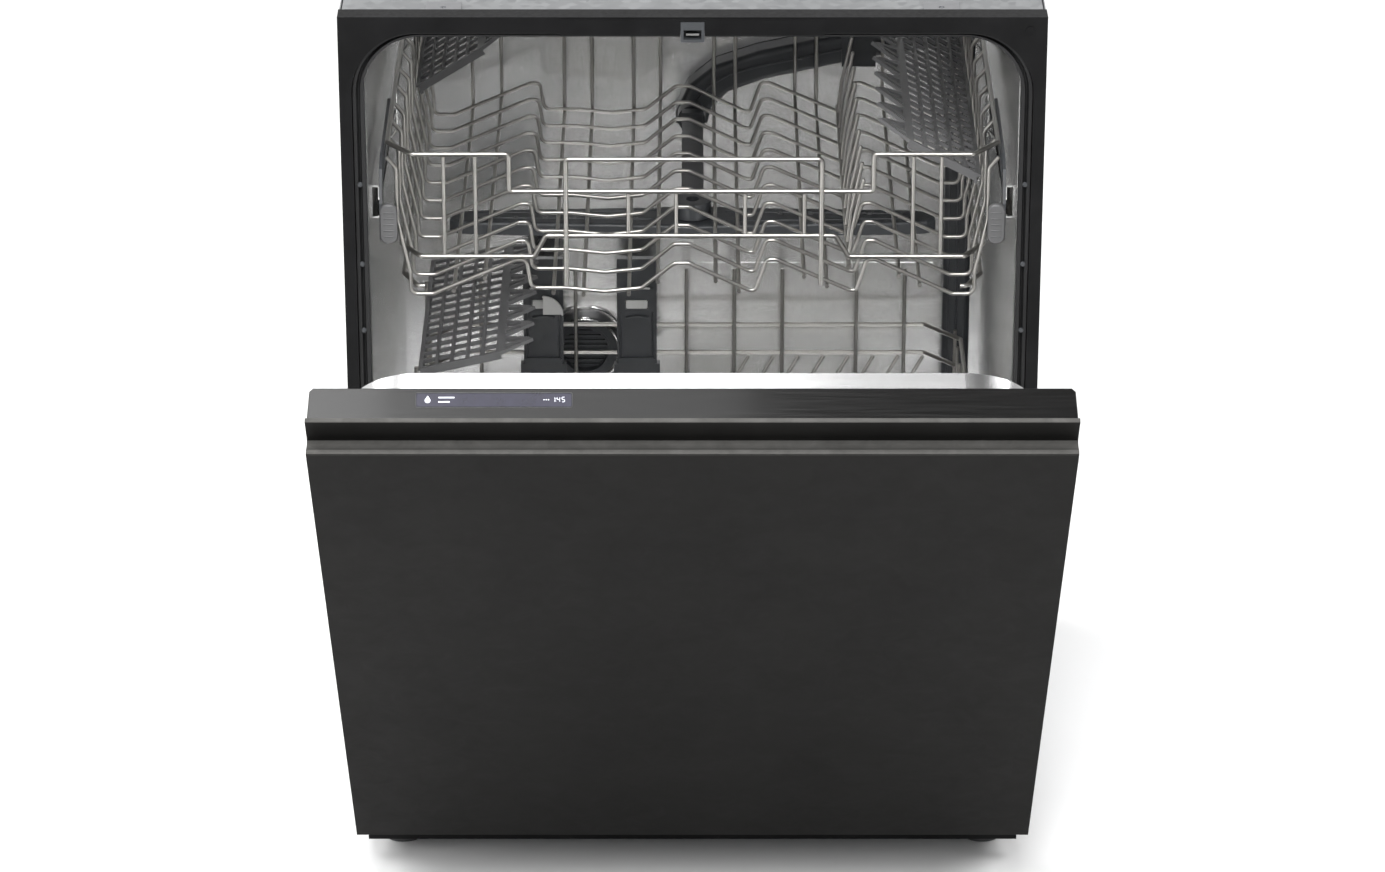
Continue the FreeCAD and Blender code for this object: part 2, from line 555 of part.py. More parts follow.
spigot = cut(fuse(cyl("y", Size(-215, "-215"), D - 40, Size(74, "74"), Size(11, "11"), Size(64, "64")), cyl("y", Size(-215, "-215"), D - 44, Size(74, "74"), Size(14, "14"), Size(38, "38"))),
             cyl("y", Size(-215, "-215"), D - 38, Size(74, "74"), Size(8, "8"), Size(70, "70")))
keep(spigot, "drain_spigot")
gland = cut(fuse(cyl("y", Size(150, "150"), D - 14, Size(74, "74"), Size(8, "8"), Size(22, "22")), cyl("y", Size(150, "150"), D - 14, Size(74, "74"), Size(12, "12"), Size(8, "8"))),
            cyl("y", Size(150, "150"), D - 16, Size(74, "74"), Size(3.6, "3.6"), Size(30, "30")))
keep(gland, "cable_gland")

# Fixing screws that show on the frame, and brackets for the worktop.
br = []
for s in (-1, 1):
    x0 = Size(s * 210 - 15, repr(s * 210.0 - 15))
    plate_b = cut(box(x0, x0 + 30, Size(4, "4"), Size(44, "44"), H - 3, H - 1.6), cyl("z", x0 + 15, Size(30, "30"), H - 6, Size(2.5, "2.5"), Size(8, "8")))
    br.append(plate_b)
keep(group(*br), "worktop_brackets")

# =============================================================== DOOR HINGES
HF, HZ = S("hinge_front"), S("hinge_high")
pins, brackets, arms, springs = [], [], [], []
for s in (-1, 1):
    xi = (lambda a: Size(s * a, repr(float(s * a))))
    x0, x1 = (xi(283), xi(279)) if s < 0 else (xi(279), xi(283))
    # cabinet bracket: cheek from the base to the pin, standing out in front of the frame
    cheek = cut(box(x0, x1, -HF - 8, Size(44.6, "44.6"), HZ - 9, HZ + 12), cyl("x", x0 - 1, -HF, HZ, Size(5.05, "5.05"), Size(6, "6")))
    brackets.append(cheek)
    pins.append(cyl("x", (xi(291) if s < 0 else xi(272)), -HF, HZ, Size(5, "5"), Size(19, "19")))
keep(group(*brackets), "hinge_brackets")
for s in (-1, 1):
    x = s * 250.0
    springs.append(cut(cyl("y", Size(x, repr(x)), Size(120, "120"), Size(56, "56"), Size(9, "9"), Size(150, "150")),
                       cyl("y", Size(x, repr(x)), Size(119, "119"), Size(56, "56"), Size(5.5, "5.5"), Size(152, "152"))))
keep(group(*springs), "door_springs")

# ====================================================================== DOOR
DBK, DFR, DH, DL = S("door_back"), S("door_front"), S("door_half"), S("door_low")
PL, PT, PH = S("panel_low"), S("panel_top"), S("panel_half")
GH, GL, GT, GD, GR = S("plug_half"), S("plug_low"), S("plug_top"), S("plug_deep"), S("plug_radius")
SM = S("sheet_metal")

# Inner liner: flat flange with the raised plug that enters the tub.
b = body("DoorLiner")
pad(b, "XZ", -DBK - SM, -DBK + 0, [rect(-DH, DL, DH, PL - 0.4)])
pad(b, "XZ", -DBK + 0, GD + 0, [("round", -GH, GL, GH, GT, GR)])
pocket(b, "XZ", -DBK - 2, GD - SM, [("round", -GH + SM, GL + SM, GH - SM, GT - SM, GR - SM)])
pocket(b, "XZ", GD - 4, GD + 2, [("round", Size(-92, "-92"), Size(430, "430"), Size(92, "92"), Size(560, "560"), Size(1, "1"))])
keep(b, "door_inner_liner", True)

# Outer pan of the door.
b = body("DoorPan")
pad(b, "XZ", -DFR + 0.4, -DBK - SM - 0.1, [rect(-DH, DL, DH, PL - 0.4)])
pocket(b, "XZ", -DFR + 0.4 + 1, -DBK - 1, [rect(-DH + 1, DL + 1, DH - 1, PL - 1.4)])
pocket(b, "XY", DL - 2, DL + 3, [rect(-DH - 1, -DFR - 2, -DH + 27, -DBK), rect(DH - 27, -DFR - 2, DH + 1, -DBK)])
keep(b, "door_outer_pan", True)

# Control panel: gloss bar along the top edge, hollow below for the electronics.
b = body("ControlPanel")
pad(b, "XY", PL + 0, PT + 0, [[(-PH, -DFR + 0.3), (PH, -DFR + 0.3), (PH - 1.2, -DBK - 3), (PH - 4.2, -DBK), (-PH + 4.2, -DBK), (-PH + 1.2, -DBK - 3)]])
pocket(b, "XY", PL - 1, PT - 3, [rect(-PH + 4, -DFR + 2.8, PH - 5, -DBK - 2.5)])
pocket(b, "XY", PT - 1.2, PT + 1, [("round", Size(-213, "-213"), Size(-19.5, "-19.5"), Size(-93, "-93"), Size(-7.5, "-7.5"), Size(1.5, "1.5"))])
pocket(b, "XZ", -DBK - 4, -DBK + 1, [rect(Size(-7, "-7"), Size(802.2, "802.2"), Size(7, "7"), Size(808.8, "808.8"))])
soften(b, Size(0.8, "0.8"), lambda e: all(abs(v.Point.z - num(PT)) < 1e-3 for v in e.Vertexes) and (abs(e.CenterOfMass.x) > 290 or abs(e.CenterOfMass.y + 3) < 0.2 or abs(e.CenterOfMass.y + 31.7) < 0.2))
keep(b, "control_panel", True)
b = body("Display")
pad(b, "XY", PT - 1.1, PT + 0, [("round", Size(-212.8, "-212.8"), Size(-19.3, "-19.3"), Size(-93.2, "-93.2"), Size(-7.7, "-7.7"), Size(1.3, "1.3"))])
keep(b, "display_window", True)
keep(box(Size(-230, "-230"), Size(230, "230"), -DFR + 8, -DBK - 9, PT - 14, PT - 12.4), "control_board", True)
bolt = fuse(box(Size(-5.5, "-5.5"), Size(5.5, "5.5"), Size(-4.4, "-4.4"), Size(-2.2, "-2.2"), Size(803, "803"), Size(808, "808")),
            box(Size(-3.5, "-3.5"), Size(3.5, "3.5"), Size(-13, "-13"), Size(-4.4, "-4.4"), Size(803.6, "803.6"), Size(807.4, "807.4")))
keep(bolt, "latch_bolt", True)
# the bolt's stem passes the rear wall of the panel
# Furniture front: plain board with a grip scoop and a thin tongue along the top.
FF, FZ, FLIP, FTOP = S("furniture_front"), S("furniture_low"), S("furniture_lip"), S("furniture_top")
TG, SL, SB = S("tongue_thick"), S("scoop_low"), S("scoop_back")
b = body("FurnitureFront")
pad(b, "YZ", -W2, W2, [[(-DFR, FZ), (-FF + 0.8, FZ), (-FF, FZ + 0.8), (-FF, FLIP - 2.2), (-FF + 0.7, FLIP - 0.6), (-FF + 2.2, FLIP),
                        (-FF + 4.2, FLIP - 0.6), (-FF + 6.4, FLIP - 2.8), (-FF + 8.8, SL + 1.8), (-SB - 1.6, SL + 0.4), (-SB + 0.6, SL), (-DFR - TG - 0.8, SL + 1.0),
                        (-DFR - TG, SL + 4), (-DFR - TG, FTOP - 0.5), (-DFR - TG + 0.5, FTOP), (-DFR, FTOP)]])
keep(b, "furniture_front", True)
screws = [cyl("y", Size(x, repr(x)), -DFR - 12, Size(z, repr(z)), Size(2.5, "2.5"), Size(11.9, "11.9")) for x in (-240.0, 240.0) for z in (200.0, 700.0)]
b = doc.getObject("FurnitureFront")
pocket(b, "XZ", -DFR - 12.05, -DFR + 1, [("circle", Size(x, repr(x)), Size(z, repr(z)), Size(2.55, "2.55")) for x in (-240.0, 240.0) for z in (200.0, 700.0)])
keep(group(*screws), "furniture_screws", True)

# Hinge arms: cheek plates on the door that carry the pins.
for s in (-1, 1):
    x0, x1 = (Size(-290, "-290"), Size(-284, "-284")) if s < 0 else (Size(284, "284"), Size(290, "290"))
    arm = fuse(box(x0, x1, -DFR + 1.6, -DBK - 1.4, DL + 1.2, DL + 70), box(x0, x1, -HF - 8, -HF + 8, HZ - 8, DL + 10))
    arms.append(cut(arm, cyl("x", x0 - 1, -HF, HZ, Size(5, "5"), Size(8, "8"))))
keep(group(*(arms + pins)), "hinge_arms", True)

# Dispenser in the liner: body, lid, rinse-aid cap.
disp = cut(box(Size(-91.5, "-91.5"), Size(91.5, "91.5"), Size(2, "2"), GD + 0.6, Size(430.5, "430.5"), Size(559.5, "559.5")),
           box(Size(-80, "-80"), Size(14, "14"), Size(4, "4"), GD + 3, Size(446, "446"), Size(544, "544")),
           cyl("y", Size(58, "58"), GD - 8, Size(495, "495"), Size(20.5, "20.5"), Size(12, "12")))
keep(disp, "dispenser_body", True)
lid = fuse(cyl("z", Size(-82, "-82"), GD + 2.2, Size(444, "444"), Size(1.3, "1.3"), Size(102, "102")), box(Size(-82, "-82"), Size(16, "16"), GD + 0.9, GD + 3.4, Size(444, "444"), Size(546, "546")),
           box(Size(-72, "-72"), Size(-60, "-60"), GD + 3.2, GD + 5, Size(460, "460"), Size(530, "530")))
keep(lid, "dispenser_lid", True)
rcap = fuse(cyl("y", Size(58, "58"), GD - 7.4, Size(495, "495"), Size(20, "20"), Size(8.8, "8.8")), box(Size(40, "40"), Size(76, "76"), GD + 1, GD + 4.4, Size(492, "492"), Size(498, "498")))
keep(rcap, "rinse_aid_cap", True)

# ============================================================== UPPER BASKET
WR, RR, TWR = num(S("wire_radius")), num(S("rim_radius")), num(S("thin_wire"))
BF, BP, BN = num(S("basket_front")), num(S("basket_pitch")), int(num(S("basket_wires")))
BZ, BRIM, BHALF, BOUT, BREAR = [num(S(k)) for k in ("basket_floor", "basket_rim", "basket_half", "basket_outer", "rear_rim")]
WAVE = [(-BHALF, 8), (-BHALF, -5.5), (-224, -5.5), (-152, 26), (-143, 26), (-139, 0), (-108, 0), (-76, -3.4), (-44, 0), (-16, 23), (-3, 23),
        (49, -2.2), (54, -2.2), (64, 26.5), (72, 26.5), (136, -2.2), (141, -2.2), (150, 26.5), (158, 26.5), (224, -5.5), (BHALF, -5.5), (BHALF, 8)]


def wave_at(x):
    for (x0, z0), (x1, z1) in zip(WAVE[1:-1], WAVE[2:-1]):
        if x0 <= x <= x1:
            return z0 + (z1 - z0) * (x - x0) / (x1 - x0), math.atan2(z1 - z0, x1 - x0)
    return 0.0, 0.0


DEPTHS = [BF + BP * k for k in range(BN)]
BACK = DEPTHS[-1]
floor_wires = [rod([(x, y, BZ + z) for x, z in WAVE], WR, 6.5) for y in DEPTHS]
LONG = [-206, -179, -120, -94, -55, -30, 20, 40, 96, 116, 178, 196]
rear_up = BACK + WR + TWR + 0.15
for x in LONG:
    z, a = wave_at(x)
    zz = BZ + z - (WR + WR + 0.2) / math.cos(a) - abs(math.sin(a)) * 0.3
    floor_wires.append(rod([(x, BF - 3.5, zz), (x, rear_up + 2.4, zz), (x, rear_up + 2.4, zz + 10)], WR, 8.5))
    floor_wires.append(rod([(x, rear_up + 2.4, zz + 10.02), (x, rear_up + 2.4, BREAR + 2)], WR))

side_wires = []
for s in (-1, 1):
    for k, y in enumerate(DEPTHS):
        side_wires.append(rod([(s * BHALF, y, BZ + 8.05), (s * BHALF, y, BZ + 14), (s * (BHALF + 10.5), y, BZ + 64), (s * (BHALF + 10.5), y, BRIM - 15), (s * (BOUT - 0.3), y, BRIM - WR - RR - 1.4)], WR, 7))
shape_object("upper_basket_wires", Part.makeCompound(floor_wires + side_wires))

rims = []
FY = BF - WR - RR - 0.15
MIDX = BHALF + 4.2 + WR + RR + 0.6
for s in (-1, 1):
    rims.append(rod([(s * BOUT, BF + 22, BRIM), (s * BOUT, BACK + 4, BRIM)], RR))
    rims.append(rod([(s * MIDX, BF + 26, BZ + 31), (s * MIDX, BACK + 2, BZ + 31)], RR))
    rims.append(rod([(s * (BHALF + WR + RR + 0.2 + 3), BF + 26, BZ + 3), (s * (BHALF + WR + RR + 0.2 + 3), BACK + 2, BZ + 3)], RR))
    rims.append(rod([(s * BOUT, BF + 21.9, BRIM), (s * 240, FY, BRIM - 1), (s * 236.1, FY, BRIM - 1)], RR, 5))
    rims.append(rod([(s * MIDX, BF + 25.9, BZ + 31), (s * 234, FY, BZ + 31), (s * 230.1, FY, BZ + 31)], RR, 5))
    rims.append(rod([(s * (BHALF + WR + RR + 0.2 + 3), BF + 25.9, BZ + 3), (s * 236.6, FY + 1.2, BZ + 3), (s * 231, FY + 1.2, BZ + 3)], RR, 5))
rims.extend(chain([(-236, FY, BRIM - 1), (-157, FY, BRIM - 1), (-157, FY, BRIM - 35), (155, FY, BRIM - 35), (155, FY, BRIM - 1), (236, FY, BRIM - 1)], RR, 6))
rims.extend(chain([(-230, FY, BZ + 31), (-136, FY, BZ + 31), (-126, FY, BZ + 50), (123, FY, BZ + 50), (134, FY, BZ + 31), (230, FY, BZ + 31)], RR, 6))
rims.append(rod([(-BHALF - 10, rear_up - 1.2 + 0.2, BREAR - 3), (BHALF + 10, rear_up - 1.2 + 0.2, BREAR - 3)], TWR))

HX0, HX1 = -108.5, 110.5
grip = chain([(HX0, FY - 2 * RR - 0.1, BZ + 6), (HX0, FY - 2 * RR - 0.1, BRIM - 4), (HX1, FY - 2 * RR - 0.1, BRIM - 4), (HX1, FY - 2 * RR - 0.1, BZ + 6)], RR, 6)
for x in (-213, -186, -55, -14, 45, 96, 189, 213):
    top = BRIM - 1 - RR if abs(x) > 157 else BRIM - 35 - RR
    grip.append(rod([(x, FY, BZ + 31 + RR + 0.05) if abs(x) > 136 else (x, FY, BZ + 50 + RR + 0.05), (x, FY, top - 0.05)], WR))
shape_object("upper_basket_rim", Part.makeCompound(rims + grip))

# Folding tine rows of the upper basket: upright wire rows along the depth.
TX = 135.5
row = [rod([(TX, 58, BZ + 9), (TX, 452, BZ + 9)], RR)]
for k in range(10):
    y = 72 + 40 * k
    row.append(rod([(TX, y, BZ + 9 + RR + 0.05), (TX + 3, y, BZ + 40), (TX + 12, y, BZ + 84)], WR, 10))
shape_object("upper_tine_row", Part.makeCompound(row))

# Rear coupling, feed pipe and hub of the middle spray arm.
UL = num(S("upper_arm_low"))
ac = num(S("upper_arm_centre"))
pipe = Part.makeBox(20, 215.4, 15, Vector(-10, ac + 6, UL + 13.4)).fuse(Part.makeCylinder(17, 15, Vector(0, ac, UL + 13.4)))
pipe = pipe.fuse(Part.makeCylinder(8.4, 10.5, Vector(-1, ac + 220.5, 548), Vector(0, 1, 0)))
pipe = pipe.fuse(Part.makeBox(20, 12, 18, Vector(-10, ac + 210, UL + 13.4)))
pipe = pipe.cut(Part.makeCylinder(6.05, 40, Vector(0, ac, UL - 5)))


def arm_shape(half, low, hole, thick, centre):
    pts = []
    w0, w1 = 26.0, 13.0
    prof = [(0, w0), (40, w0 - 4), (half - 30, w1 + 3), (half - 8, w1), (half, w1 * 0.45)]
    right = [Vector(x, y, 0) for x, y in prof]
    bottom = [Vector(x, -y, 0) for x, y in reversed(prof)]
    left = [Vector(-x, -y, 0) for x, y in prof[1:]]
    top = [Vector(-x, y, 0) for x, y in reversed(prof[1:])]
    loop = right + bottom + left + top
    wire = Part.makePolygon(loop + [loop[0]])
    s = Part.Face(wire).extrude(Vector(0, 0, thick))
    s = s.makeFillet(3.2, [e for e in s.Edges if all(abs(v.Point.z - thick) < 1e-6 for v in e.Vertexes)])
    s = s.cut(Part.makeCylinder(hole, thick + 4, Vector(0, 0, -2)))
    for k in range(6):
        x = 52 + k * (half - 84) / 5.0
        for sg, off in ((1, 5), (-1, -5)):
            s = s.cut(Part.makeCylinder(1.5, 7, Vector(sg * x, off, thick - 5)))
    s.translate(Vector(0, centre, low))
    return s


upper_arm = arm_shape(num(S("upper_arm_half")), UL, 6.1, num(S("arm_thick")), ac)
upper_arm = upper_arm.fuse(Part.makeCylinder(15, 3, Vector(0, ac, UL - 3))).cut(Part.makeCylinder(6.1, 40, Vector(0, ac, UL - 10)))
shape_object("upper_spray_arm", upper_arm.removeSplitter())
bearing = Part.makeCylinder(6, 24, Vector(0, ac, UL - 4.6)).fuse(Part.makeCylinder(11, 1.6, Vector(0, ac, UL - 5)))
shape_object("feed_pipe", pipe.fuse(bearing).removeSplitter())
lc = num(AC)
lower_arm = arm_shape(num(S("lower_arm_half")), num(S("lower_arm_low")), 8.1, num(S("arm_thick")), lc)
lower_arm = lower_arm.fuse(Part.makeCylinder(20, 5, Vector(0, lc, num(S("lower_arm_low")) + 11.5))).cut(Part.makeCylinder(8.1, 40, Vector(0, lc, num(S("lower_arm_low")) - 10)))
shape_object("lower_spray_arm", lower_arm.removeSplitter())

# Height-adjuster levers, runners and wall rails of the upper basket.
for s, name in ((-1, "left"), (1, "right")):
    poly = [(183, 664), (189, 672), (183, 679), (58, 676), (40, 668), (30, 640), (28, 612), (33, 605), (41, 605), (46, 612), (47, 640), (56, 660)]
    face = Part.Face(Part.makePolygon([Vector(0, y, z) for y, z in poly + [poly[0]]]))
    lev = face.extrude(Vector(2.6, 0, 0))
    lev.translate(Vector(s * 267.2 - 1.3, 0, 0))
    lev = lev.cut(Part.makeCylinder(2.45, 8, Vector(s * 267.2 - 4, 182, 671.5), Vector(1, 0, 0)))
    shape_object("height_lever_" + name, lev)
runners, rails, rollers, stubs = [], [], [], []
for s in (-1, 1):
    runners.append(Part.makeBox(1.6, 400, 12, Vector(s * 270.3 - 0.8, 60, 632)))
    for y in (182, 404):
        runners.append(rod([(s * 269.4, y, 638), (s * (BOUT - 1), y, 650), (s * (BOUT - 1), y, BRIM - RR - 0.4)], 1.4, 4))
    stubs.append(Part.makeCylinder(2.4, 7, Vector(s * 265.95 - 3.5, 182, 671.5), Vector(1, 0, 0)))
    ch = Part.makeBox(2, 462, 30, Vector(s * 275.9 - 1.0, 40, 623))
    ch = ch.fuse(Part.makeBox(7.5, 462, 1.5, Vector(s * 273.2 - 3.75, 40, 623))).fuse(Part.makeBox(7.5, 462, 1.5, Vector(s * 273.2 - 3.75, 40, 651.5)))
    rails.append(ch.removeSplitter())
shape_object("basket_runners", Part.makeCompound(runners + stubs))
shape_object("upper_rails", Part.makeCompound(rails))


# Folding cup shelves: lattice plates with a comb of pointed fingers.
def shelf(length, width, thick, fins, label, hand, hinge_x, hinge_y, hinge_z, tilt):
    w_grid = width - 30
    outer = [(0, 0), (w_grid, 0)]
    step = length / fins
    for k in range(fins):
        y = k * step
        outer += [(w_grid + 3, y + 1.5), (w_grid + 20, y + 0.30 * step), (w_grid + 30, y + 0.45 * step), (w_grid + 24, y + 0.62 * step), (w_grid + 5, y + 0.93 * step)]
    outer += [(w_grid, length), (0, length)]
    holes = []
    nx = 5
    ny = int(length / 16.5)
    px, py = (w_grid - 5) / nx, (length - 5) / ny
    for i in range(nx):
        for j in range(ny):
            holes.append([(4 + i * px, 4 + j * py), (4 + (i + 1) * px - 3, 4 + j * py), (4 + (i + 1) * px - 3, 4 + (j + 1) * py - 3), (4 + i * px, 4 + (j + 1) * py - 3)])
    for k in range(fins):
        y = k * step
        holes.append([(w_grid + 3.5, y + 0.13 * step), (w_grid + 18, y + 0.33 * step), (w_grid + 18, y + 0.40 * step), (w_grid + 3.5, y + 0.28 * step)])
        holes.append([(w_grid + 4.5, y + 0.46 * step), (w_grid + 19, y + 0.52 * step), (w_grid + 18, y + 0.60 * step), (w_grid + 4.5, y + 0.74 * step)])

    def wire(pts):
        v = [Vector(x, y, 0) for x, y in pts]
        return Part.makePolygon(v + [v[0]])
    f = Part.makeFace([wire(outer)] + [wire(h) for h in holes], "Part::FaceMakerBullseye")
    s = f.extrude(Vector(0, 0, thick))
    s = s.fuse(Part.makeBox(3, length, 9, Vector(0, 0, -6)))
    s = s.fuse(Part.makeBox(w_grid, 3, 7, Vector(0, 0, -4)))
    s = s.cut(Part.makeCylinder(2.3, length + 4, Vector(-0.2, -2, -0.5), Vector(0, 1, 0)))
    s = s.removeSplitter()
    if hand < 0:
        s = s.mirror(Vector(0, 0, 0), Vector(1, 0, 0))
    s.rotate(Vector(0, 0, 0), Vector(0, 1, 0), -tilt if hand > 0 else tilt)
    s.translate(Vector(hinge_x, hinge_y, hinge_z))
    return shape_object(label, s)


ST, TK = num(S("shelf_tilt")), num(S("shelf_thick"))
shelf(160, 100, TK, 5, "cup_shelf_upper_left", 1, -248.3, 300, 644, ST + 2)
shelf(384, 100, TK, 10, "cup_shelf_upper_right", -1, 248.3, 80, 644, ST - 2)
shelf(258, 106, TK, 7, "cup_shelf_lower", 1, -247, 192, 412, 13)

# ============================================================== LOWER BASKET
LF, LHALF, LOUT, LY0, LY1 = [num(S(k)) for k in ("lower_floor", "lower_half", "lower_outer", "lower_front", "lower_back")]
LRIM, LMID, LLOW = [num(S(k)) for k in ("lower_rim", "lower_mid", "lower_low")]
low_wires = []
LX = [-203, -157, -112, -60, -5.7, 40, 86, 157, 203]
for x in LX:
    low_wires.append(rod([(x, LY0 + 4, LF + 14), (x, LY0 + 4, LF), (x, LY1 - 4, LF), (x, LY1 - 4, LF + 14)], WR, 9))
LYS = [LY0 + 24 + 40.6 * k for k in range(11)]
for y in LYS:
    low_wires.append(rod([(-LHALF, y, LF + 18), (-LHALF, y, LF + 2 * WR + 0.15), (LHALF, y, LF + 2 * WR + 0.15), (LHALF, y, LF + 18)], WR, 9))
lw = []
for x in LX:
    lw.append(rod([(x, LY1 - 4, LF + 14.05), (x, LY1 - 4, LRIM)], WR))
    lw.append(rod([(x, LY0 + 4, LF + 14.05), (x, LY0 + 4, LMID - 30)], WR))
for s in (-1, 1):
    for y in LYS:
        high = LLOW + 34 if s > 0 or y not in (LYS[4], LYS[9]) else 405.0
        lw.append(rod([(s * LHALF, y, LF + 18.05), (s * (LOUT - 5), y, LF + 60), (s * (LOUT - 5), y, high)], WR, 12))
shape_object("lower_basket_wires", Part.makeCompound(low_wires + lw))
lr = []
RB = LY1 - 4 + WR + RR + 0.1
RFr = LY0 + 4 - WR - RR - 0.1
for z in (LMID, LLOW):
    lr.append(rod([(-219, RB, z), (219, RB, z)], RR))
    for s in (-1, 1):
        lr.append(rod([(s * 219.05, RB, z), (s * 223, RB, z), (s * LOUT, RB - 37, z), (s * LOUT, RB - 42, z)], RR, 5))
        lr.append(rod([(s * LOUT, RB - 42.05, z), (s * LOUT, RFr + 42.05, z)], RR))
        if z == LLOW:
            lr.append(rod([(s * LOUT, RFr + 42, z), (s * LOUT, RFr + 37, z), (s * 223, RFr, z), (s * 219.05, RFr, z)], RR, 5))
        else:
            lr.append(rod([(s * LOUT, RFr + 42, z), (s * LOUT, RFr + 37, z), (s * 250, RFr + 30, z - 28)], RR, 8))
lr.append(rod([(-219, RFr, LLOW), (219, RFr, LLOW)], RR))
lr.append(rod([(-219, RFr, LF + 34), (219, RFr, LF + 34)], RR))
shape_object("lower_basket_rim", Part.makeCompound(lr))

# Moulded uprights on the rear wall of the lower basket.
ups = []
for xc in (-142.5, -53.2):
    u = Part.makeBox(38, 7, 122, Vector(xc - 19, LY1 - 24, 288))
    u = u.fuse(Part.makeBox(30, 9, 10, Vector(xc - 15, LY1 - 27, 371)))
    u = u.cut(Part.makeBox(22, 12, 10, Vector(xc - 11, LY1 - 29, 358)))
    u = u.fuse(Part.makeBox(44, 10, 16, Vector(xc - 22, LY1 - 26, 286)))
    u = u.cut(Part.makeBox(14, 12, 12, Vector(xc - 7, LY1 - 27, 280)))
    u = u.fuse(Part.makeBox(16, 11, 5, Vector(xc - 8, LY1 - 17.2, 330)))
    ups.append(u.removeSplitter())
shape_object("rear_supports", Part.makeCompound(ups))

# Folding plate-tine rows of the lower basket.


def tine_row(label, y, xs, z0, lean, height, rise):
    base = [rod([(xs[0] - 16, y, z0), (xs[-1] + 16, y, z0)], RR)]
    for x in xs:
        base.append(rod([(x, y, z0 + RR + 0.05), (x, y, z0 + 18), (x + lean, y, z0 + height)], WR, 10))
    return shape_object(label, Part.makeCompound(base))


tine_row("plate_tines_rear", 372, [-21 + 23.4 * k for k in range(8)], LF + 9.5, 73, 150, 0)
tine_row("plate_tines_front", 172, [-170 + 23.4 * k for k in range(15)], LF + 9.5, 20, 112, 0)

# Wheels of the lower basket on two axle lines, and their stub holders.
WRAD, WAX = num(S("wheel_radius")), num(S("wheel_axis"))
hold, wf, wb = [], [], []
for s in (-1, 1):
    for y, lst in ((92, wf), (430, wb)):
        w = Part.makeCylinder(WRAD, 7, Vector(s * 262 - 3.5, y, WAX), Vector(1, 0, 0)).cut(Part.makeCylinder(4.05, 10, Vector(s * 262 - 5, y, WAX), Vector(1, 0, 0)))
        w = w.fuse(Part.makeCylinder(8, 9, Vector(s * 262 - 4.5, y, WAX), Vector(1, 0, 0)).cut(Part.makeCylinder(4.05, 12, Vector(s * 262 - 6, y, WAX), Vector(1, 0, 0))))
        lst.append(w)
        st = Part.makeCylinder(4, 22, Vector(s * 258 - 11, y, WAX), Vector(1, 0, 0))
        st = st.fuse(Part.makeBox(4, 26, 76, Vector(s * 248 - 2, y - 13, WAX - 6)))
        wy = min(LYS, key=lambda v: abs(v - y))
        st = st.fuse(Part.makeBox(8.2, 11, 11, Vector(s * 241.9 - 4.1, wy - 5.5, LF + 6)))
        hold.append(st)
shape_object("wheel_holders", Part.makeCompound(hold))
shape_object("front_wheels", Part.makeCompound(wf))
shape_object("rear_wheels", Part.makeCompound(wb))

# ==================================================== placement and writing out
doc.recompute()
yb = num(S("front_plane_y"))
shift = Placement(Vector(0, yb, 0), Rotation())
pivot = Vector(0, -num(HF), num(HZ))
turn = Placement(Vector(0, 0, 0), Rotation(Vector(1, 0, 0), num(S("door_rest_angle"))), pivot)
for obj, label, door in SUB:
    p = shift.multiply(turn) if door else shift
    obj.Placement = p.multiply(obj.Placement)
doc.recompute()

bad = [o.Name for o in doc.Objects if any(w in " ".join(o.State) for w in ("Invalid", "Error"))]
if bad:
    raise RuntimeError("failed objects: " + ", ".join(bad))
total = FreeCAD.BoundBox()
for obj, label, door in SUB:
    s = obj.Shape
    if s.isNull() or not s.isValid() or not s.Solids or s.Volume <= 0:
        raise RuntimeError("bad shape: " + label)
    total.add(s.BoundBox)
    s.exportStep("parts/%s.step" % label)
print("%d sub-parts, box %s" % (len(SUB), total))
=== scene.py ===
import json
import math
import random

import bmesh
import bpy
from mathutils import Matrix, Vector


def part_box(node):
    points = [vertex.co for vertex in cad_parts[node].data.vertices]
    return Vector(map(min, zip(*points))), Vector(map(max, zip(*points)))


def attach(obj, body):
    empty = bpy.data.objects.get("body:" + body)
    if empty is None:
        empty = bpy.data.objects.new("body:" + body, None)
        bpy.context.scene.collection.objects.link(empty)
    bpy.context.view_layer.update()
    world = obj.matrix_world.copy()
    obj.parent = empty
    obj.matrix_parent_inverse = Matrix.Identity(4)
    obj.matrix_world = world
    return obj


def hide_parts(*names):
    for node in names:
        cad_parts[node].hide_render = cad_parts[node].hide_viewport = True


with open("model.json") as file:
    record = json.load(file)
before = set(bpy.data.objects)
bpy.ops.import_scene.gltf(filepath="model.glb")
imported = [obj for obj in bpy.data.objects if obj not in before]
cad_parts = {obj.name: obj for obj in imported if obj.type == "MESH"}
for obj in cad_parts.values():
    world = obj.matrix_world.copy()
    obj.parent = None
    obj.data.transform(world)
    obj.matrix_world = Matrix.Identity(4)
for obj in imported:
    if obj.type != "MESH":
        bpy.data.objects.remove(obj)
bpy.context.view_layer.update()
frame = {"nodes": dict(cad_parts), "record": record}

NODES = frame["nodes"]
scene = bpy.context.scene
random.seed(11)

# ---------------------------------------------------------------- places
# Cabinet and basket points are x, depth behind the cabinet's front plane, height, in mm.
# Door points are the same with the door shut; the door rests 37 degrees open about its pins.
FRONT = -50.77
TH = math.radians(37)
SN, CS = math.sin(TH), math.cos(TH)


def P(x, p, z):
    return Vector((x / 1000, (p + FRONT) / 1000, z / 1000))


def R(x, p, z):
    y, zz = p + 20, z - 85
    return Vector((x / 1000, (y * CS - zz * SN - 20 + FRONT) / 1000, (y * SN + zz * CS + 85) / 1000))


